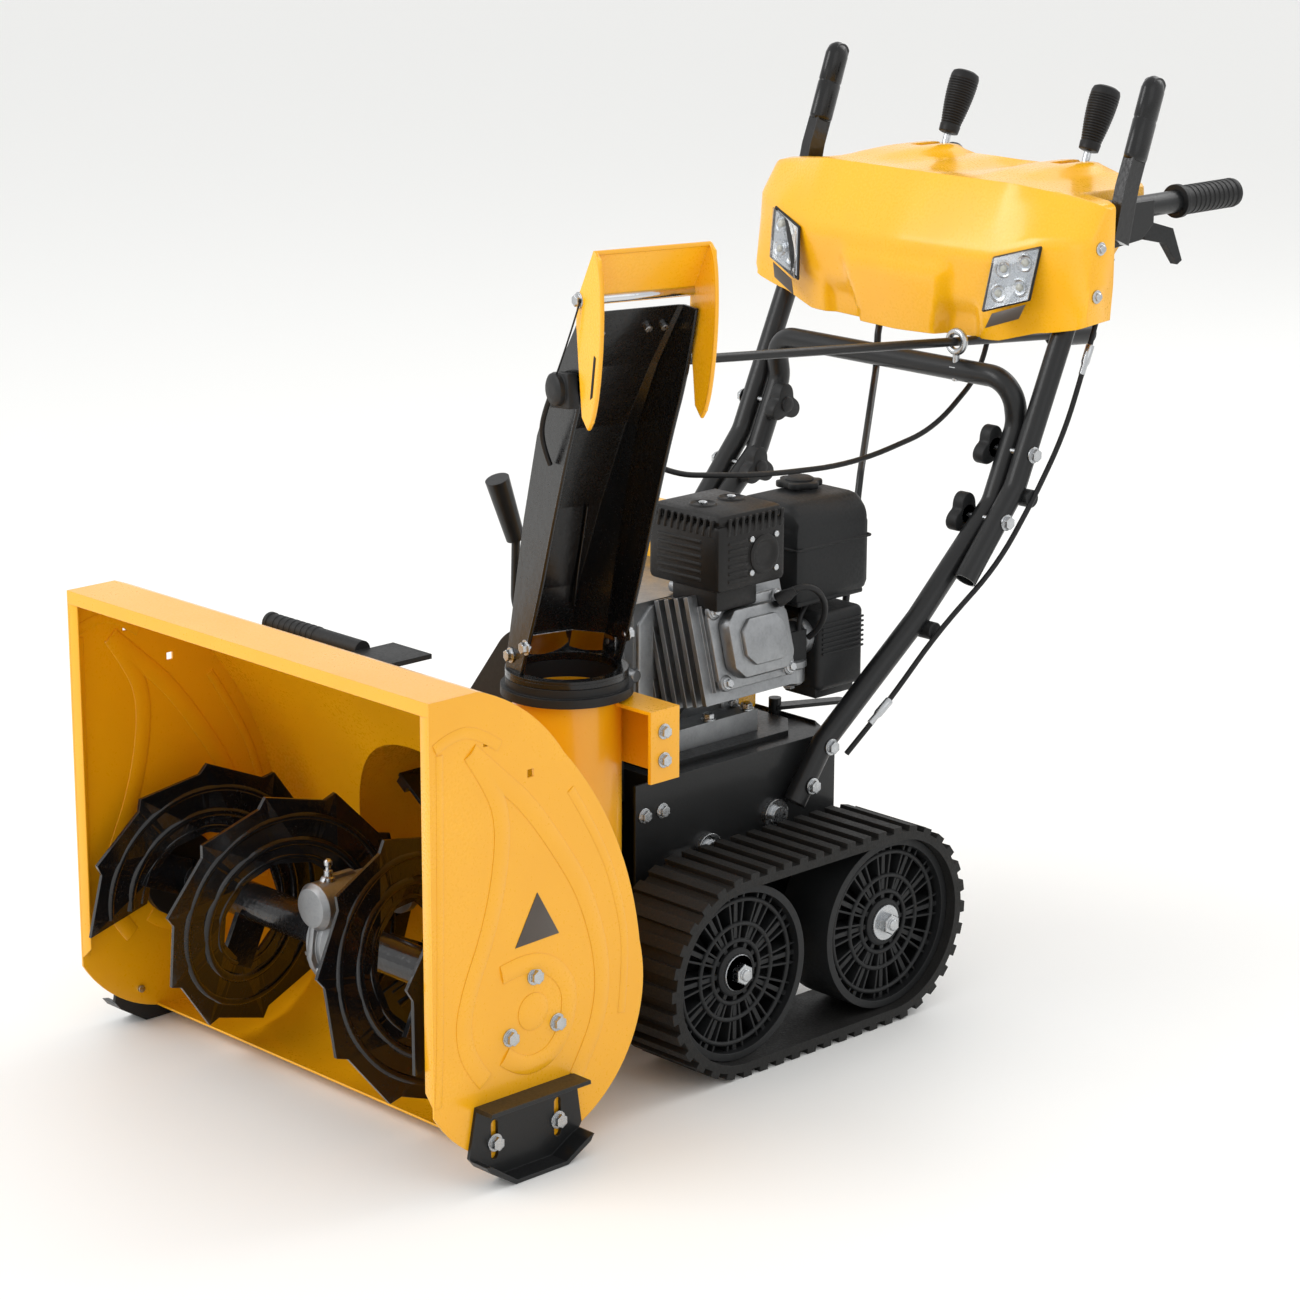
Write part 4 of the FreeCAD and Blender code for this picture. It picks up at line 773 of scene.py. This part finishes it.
# wheels: rings and slim ribs between the spokes, zinc washer, nut and axle end
wheelWork = dict(z=110, rings=(34, 52, 78), ribs=24, idler=437, driver=660)
z = wheelWork["z"]
for name, y, nutBodies in (("idler", wheelWork["idler"], ("chassis", "chassis")),
                           ("drive", wheelWork["driver"], ("drive_left", "drive_right"))):
    moulded = []
    for wide in wheelWork["rings"]:
        turns = [a * math.pi / 12 for a in range(24)]
        moulded.append(cable("ring", [at(252, y + wide * math.cos(a), z + wide * math.sin(a)) for a in turns], 2.6,
                             closed=True))
    for step in range(wheelWork["ribs"]):
        angle = 2 * math.pi * (step + 0.5) / wheelWork["ribs"]
        reach = Vector((0, math.cos(angle), math.sin(angle)))
        side = Vector((0, -math.sin(angle), math.cos(angle))) * 0.0011
        centre = at(236, y, z)
        corners = [centre + reach * 0.034 - side, centre + reach * 0.087 - side,
                   centre + reach * 0.087 + side, centre + reach * 0.034 + side]
        moulded.append(slab("rib", corners, 17, (1, 0, 0), 0))
    moulded.append(turnedPiece("hub", at(250, y, z), (1, 0, 0),
                               [(26, 0), (26, 4), (24, 6), (22, 6.4), (21, 5.2)], 40))
    wheel = settle(joined(moulded, name + "WheelRibsLeft"), name + "_left", "grainedBlackNylon", 40)
    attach(twin(wheel, name + "WheelRibsRight"), name + "_right")
    nut = [turnedPiece("washer", at(255.6, y, z), (1, 0, 0), [(19.6, 0), (19.6, 2.2), (18.8, 2.8)], 36),
           turnedPiece("nut", at(258, y, z), (1, 0, 0), [(10.6, 0), (11.6, 0.8), (11.6, 8.2), (10.6, 9.4)], 6),
           turnedPiece("end", at(262, y, z), (1, 0, 0), [(6.2, 0), (6.2, 7.6), (5.2, 8.6), (3, 8.7)], 28)]
    nut = settle(joined(nut, name + "AxleNutLeft"), nutBodies[0], "brightZincPlate", 25)
    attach(twin(nut, name + "AxleNutRight"), nutBodies[1])
print("wheels dressed")

# chute: bright band at its foot, folded stiffening lines, and on the hood a slot, cable block and wire
chuteWork = dict(centre=(110, 333, 420.5), turn=75)
chuteTurn = Matrix.Rotation(math.radians(chuteWork["turn"]), 4, "Z")


def inChute(x, forward, height):
    return at(*chuteWork["centre"]) + chuteTurn @ (Vector((x, -forward, height)) / 1000)


bandRows = []
for height, back, flat, corner, front in ((7, -53, 28, -25, -2), (14, -50, 29, -23, 4), (32, -45, 30, -18, 4)):
    bandRows.append([inChute(x, u, height) for x, u in ((-54, front), (-53.6, corner), (-flat, back), (flat, back),
                                                        (53.6, corner), (54, front))])
band = gridSkin("chuteFootBand", bandRows)
applied(band, "SOLIDIFY", thickness=0.0012, offset=0)
settle(recalculated(band), "chute_body", "polishedChrome", 20)
folds = []
for side in (-1, 1):
    folds.append(cable("fold", [inChute(side * 26, -34, 60), inChute(side * 26, -26, 96),
                                inChute(side * 26, -12, 140), inChute(side * 24, 0, 172)], 1.6))
settle(joined(folds, "chuteFoldLines"), "chute_body", "glossBlackPolypropylene", 60)
rims = []
for side in (-1, 1):
    rims.append(cable("rim", [inChute(side * 56, u, h) for u, h in ((8, 8), (44, 82), (78, 172), (114, 262),
                                                                  (147, 332), (164, 396))], 2.2))
settle(joined(rims, "chuteEdgeBead"), "chute_body", "glossBlackPolypropylene", 60)
hinge = turnedPiece("hoodHingePin", inChute(-62, 149, 412), chuteTurn @ Vector((1, 0, 0)),
                    [(4.6, 0), (4.8, 0.6), (4.8, 123), (4.2, 124)], 28)
settle(hinge, "hood", "polishedChrome")
beads = [cable("bead", [inChute(-61, 180, 461), inChute(61, 180, 461)], 2.4)]
for side in (-1, 1):
    beads.append(cable("bead", [inChute(side * 61.7, u, h) for u, h in ((180, 461), (190, 455), (194, 400),
                                                                      (188, 345), (176, 300), (166, 291))], 2.2))
settle(joined(beads, "hoodEdgeBead"), "hood", "yellowPowderCoat", 60)
slots = []
for side in (-1, 1):
    places = [inChute(side * 62.9, u, h) for u, h in ((171, 320), (176, 323), (183, 362), (179, 364))]
    slots.append(slab("slot", places, 0.5, chuteTurn @ Vector((side, 0, 0)), 0.0002))
settle(joined(slots, "hoodSlots"), "hood", "stovePaint")
bolts = []
for side in (-1, 1):
    push = chuteTurn @ Vector((side, 0, 0))
    bolts.append(turnedPiece("washer", inChute(side * 62.6, 149, 412), push, [(8, 0), (8, 1.2), (7.4, 1.6)], 24))
    bolts.append(turnedPiece("nut", inChute(side * 63.6, 149, 412), push, [(5.6, 0), (6, 0.6), (6, 4), (5.2, 5)], 6))
settle(joined(bolts, "hoodHingeNuts"), "hood", "brightZincPlate", 25)
outwardFar = chuteTurn @ Vector((-1, 0, 0))
block = [slab("plate", [inChute(-58.5, u, h) for u, h in ((96, 300), (142, 306), (138, 340), (104, 336))], 12,
              outwardFar, 0.002),
         turnedPiece("spool", inChute(-64, 120, 322), outwardFar,
                     [(15, 0), (16, 1), (16, 12), (13, 14), (6, 14.6)], 32)]
settle(joined(block, "hoodCableBlock"), "chute_body", "grainedBlackNylon")
wire = [cable("wire", [inChute(-74, 118, 330), inChute(-70, 138, 368), inChute(-65, 156, 414)], 0.9),
        cable("tail", [inChute(-74, 112, 316), inChute(-76, 96, 290), inChute(-70, 84, 262),
                       inChute(-61, 84, 240)], 2.6)]
settle(joined(wire, "hoodCable"), "chute_body", "softRubber", 60)
print("chute dressed")

# auger gearbox: two cast halves with a bolted rim and cross ribs
gearWork = dict(rim=49, shoulders=[(150, 214), (136, 230), (100, 230), (88, 214)])
turns = [a * math.pi / 14 for a in range(-13, 5)]
outline = [at(-4, augerY + gearWork["rim"] * math.cos(a), augerZ + gearWork["rim"] * math.sin(a)) for a in turns]
outline += [at(-4, y, z) for y, z in gearWork["shoulders"]]
halves = [slab("rim", outline, 8, (1, 0, 0), 0.0016)]
for side in (-1, 1):
    halves.append(turnedPiece("half", at(side * 3, augerY, augerZ), (side, 0, 0),
                              [(42, 0), (42, 8), (36, 14), (24, 16), (21, 17), (21, 28), (18, 29)], 48))
    for step in range(6):
        angle = math.pi * step / 3 + 0.3
        places = [at(side * 4, augerY + r * math.cos(angle + t), augerZ + r * math.sin(angle + t))
                  for r, t in ((22, -0.1), (41, -0.06), (41, 0.06), (22, 0.1))]
        halves.append(slab("rib", places, 13, (side, 0, 0), 0.001))
halves.append(turnedPiece("snout", at(0, 128, 200), (0, 1, 0), [(25, 0), (25, 62), (31, 64), (31, 73)], 40))
halves.append(turnedPiece("nose", at(0, 128, 200), (0, -1, 0), [(25, 0), (25, 40), (20, 46), (10, 47)], 40))
settle(joined(halves, "augerGearboxCasting"), "chassis", "dieCastAluminium", 35, ["auger_gearbox"])
screws = [turnedPiece("greaseNipple", at(0, 106, 222), (0, 0, 1),
                      [(7, 0), (7, 6), (4.6, 7), (4.6, 13), (3, 14), (3, 17), (4.4, 19), (4.4, 23), (2.4, 25)], 24)]
for step in range(7):
    angle = math.pi * (step - 5) / 5.6 + 0.2
    screws.append(turnedPiece("screw", at(4, augerY + 45 * math.cos(angle), augerZ + 45 * math.sin(angle)),
                              (1, 0, 0), [(3.4, 0), (3.6, 0.5), (3.6, 3), (3, 3.6)], 6))
settle(joined(screws, "augerGearboxScrews"), "chassis", "brightZincPlate", 25)

# grips: end collars and fine rings; cable ferrules; console screws
gripWork = dict(x=210, z=829, collar=1170, first=1186, step=8.4, rings=9, end=1262)
x, z = gripWork["x"], gripWork["z"]
rings = [turnedPiece("collar", at(x, gripWork["collar"], z), (0, 1, 0),
                     [(17, 0), (18.6, 1), (18.6, 4.5), (16.6, 6.5)], 40)]
for step in range(gripWork["rings"]):
    rings.append(turnedPiece("ring", at(x, gripWork["first"] + step * gripWork["step"], z), (0, 1, 0),
                             [(16.0, 0), (16.7, 0.7), (16.7, 4.6), (16.0, 5.3)], 40))
rings.append(turnedPiece("end", at(x, gripWork["end"], z), (0, 1, 0),
                         [(16.2, 0), (16.8, 1), (16.8, 5), (14, 8), (7, 9)], 40))
ringsLeft = settle(joined(rings, "gripRingsLeft"), "chassis", "softRubber", 40)
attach(twin(ringsLeft, "gripRingsRight"), "chassis")
ends = []
for a, b in (((231, 1002, 690), (231, 990, 662)), ((200, 722, 334), (195, 700, 314))):
    ends.append(turnedPiece("ferrule", at(*a), at(*b) - at(*a),
                            [(4.2, 0), (4.8, 1), (4.8, 20), (3.6, 24), (3.6, 34)], 24))
endsLeft = settle(joined(ends, "cableFerrulesLeft"), "chassis", "brightZincPlate")
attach(twin(endsLeft, "cableFerrulesRight"), "chassis")
clips = []
for y, z, x in ((915, 530, 222), (790, 398, 196)):
    clips.append(turnedPiece("clip", at(x - 22, y, z), (1, 0, 0), [(9, 0), (10, 1), (10, 28), (9, 29)], 24))
clipsLeft = settle(joined(clips, "cableClipsLeft"), "chassis", "grainedBlackNylon")
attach(twin(clipsLeft, "cableClipsRight"), "chassis")
screws = []
for y, z in ((988, 800), (984, 748)):
    screws.append(turnedPiece("washer", at(252, y, z), (1, 0, 0), [(7.4, 0), (7.4, 1.2), (6.8, 1.6)], 24))
    screws.append(turnedPiece("screw", at(253, y, z), (1, 0, 0), [(4.4, 0), (4.8, 0.5), (4.8, 3), (3.4, 4.4)], 24))
screwsLeft = settle(joined(screws, "consoleScrewsLeft"), "chassis", "brightZincPlate")
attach(twin(screwsLeft, "consoleScrewsRight"), "chassis")
print("handles dressed")

# bearing caps pressed into the side plates
capWork = dict(x=285.4, wide=19)
for side, hand in ((1, "Left"), (-1, "Right")):
    cap = turnedPiece("bearingCap" + hand, at(side * capWork["x"], augerY, augerZ), (side, 0, 0),
                      [(capWork["wide"], 0), (capWork["wide"], 1.2), (17, 2), (9, 2.4), (4, 2.4)], 40)
    settle(cap, "chassis", "yellowPowderCoat")

# clean-out tool: collar and rings on its grip
toolWork = dict(collar=-150, first=-138, step=9, rings=8, y=156, z=456)
y, z = toolWork["y"], toolWork["z"]
rings = [turnedPiece("collar", at(toolWork["collar"], y, z), (1, 0, 0),
                     [(10, 0), (11.4, 1), (11.4, 5), (10.2, 6)], 32)]
for step in range(toolWork["rings"]):
    rings.append(turnedPiece("ring", at(toolWork["first"] + step * toolWork["step"], y, z), (1, 0, 0),
                             [(10, 0), (10.8, 0.8), (10.8, 4.4), (10, 5.2)], 32))
settle(joined(rings, "toolGripRings"), "tool", "grainedBlackNylon")
print("small details added")

# clutch levers: rounded grip sleeves moulded over the flat bars
sleeveWork = dict(x=237, foot=(1058.9, 887.3), tip=(1090, 973), radius=15.8, flat=0.71)
foot, tip = [at(sleeveWork["x"], *sleeveWork[end]) for end in ("foot", "tip")]
wide, tall = sleeveWork["radius"], (tip - foot).length * 1000
sleeveLeft = turnedPiece("clutchSleeveLeft", foot, tip - foot,
                         [(wide - 3, 0), (wide - 0.6, 2), (wide, 5), (wide, 44), (wide - 0.7, 45),
                          (wide - 0.7, 47), (wide, 48), (wide, tall - 12), (wide - 1.5, tall - 6),
                          (wide - 4.5, tall - 1), (wide - 9, tall + 2.2), (4, tall + 3.4)], 44)
for vertex in sleeveLeft.data.vertices:
    vertex.co.x = foot.x + (vertex.co.x - foot.x) * sleeveWork["flat"]
settle(sleeveLeft, "clutch_left", "glossBlackPolypropylene", 50)
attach(twin(sleeveLeft, "clutchSleeveRight"), "clutch_right")
print("clutch levers sleeved")

low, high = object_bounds()
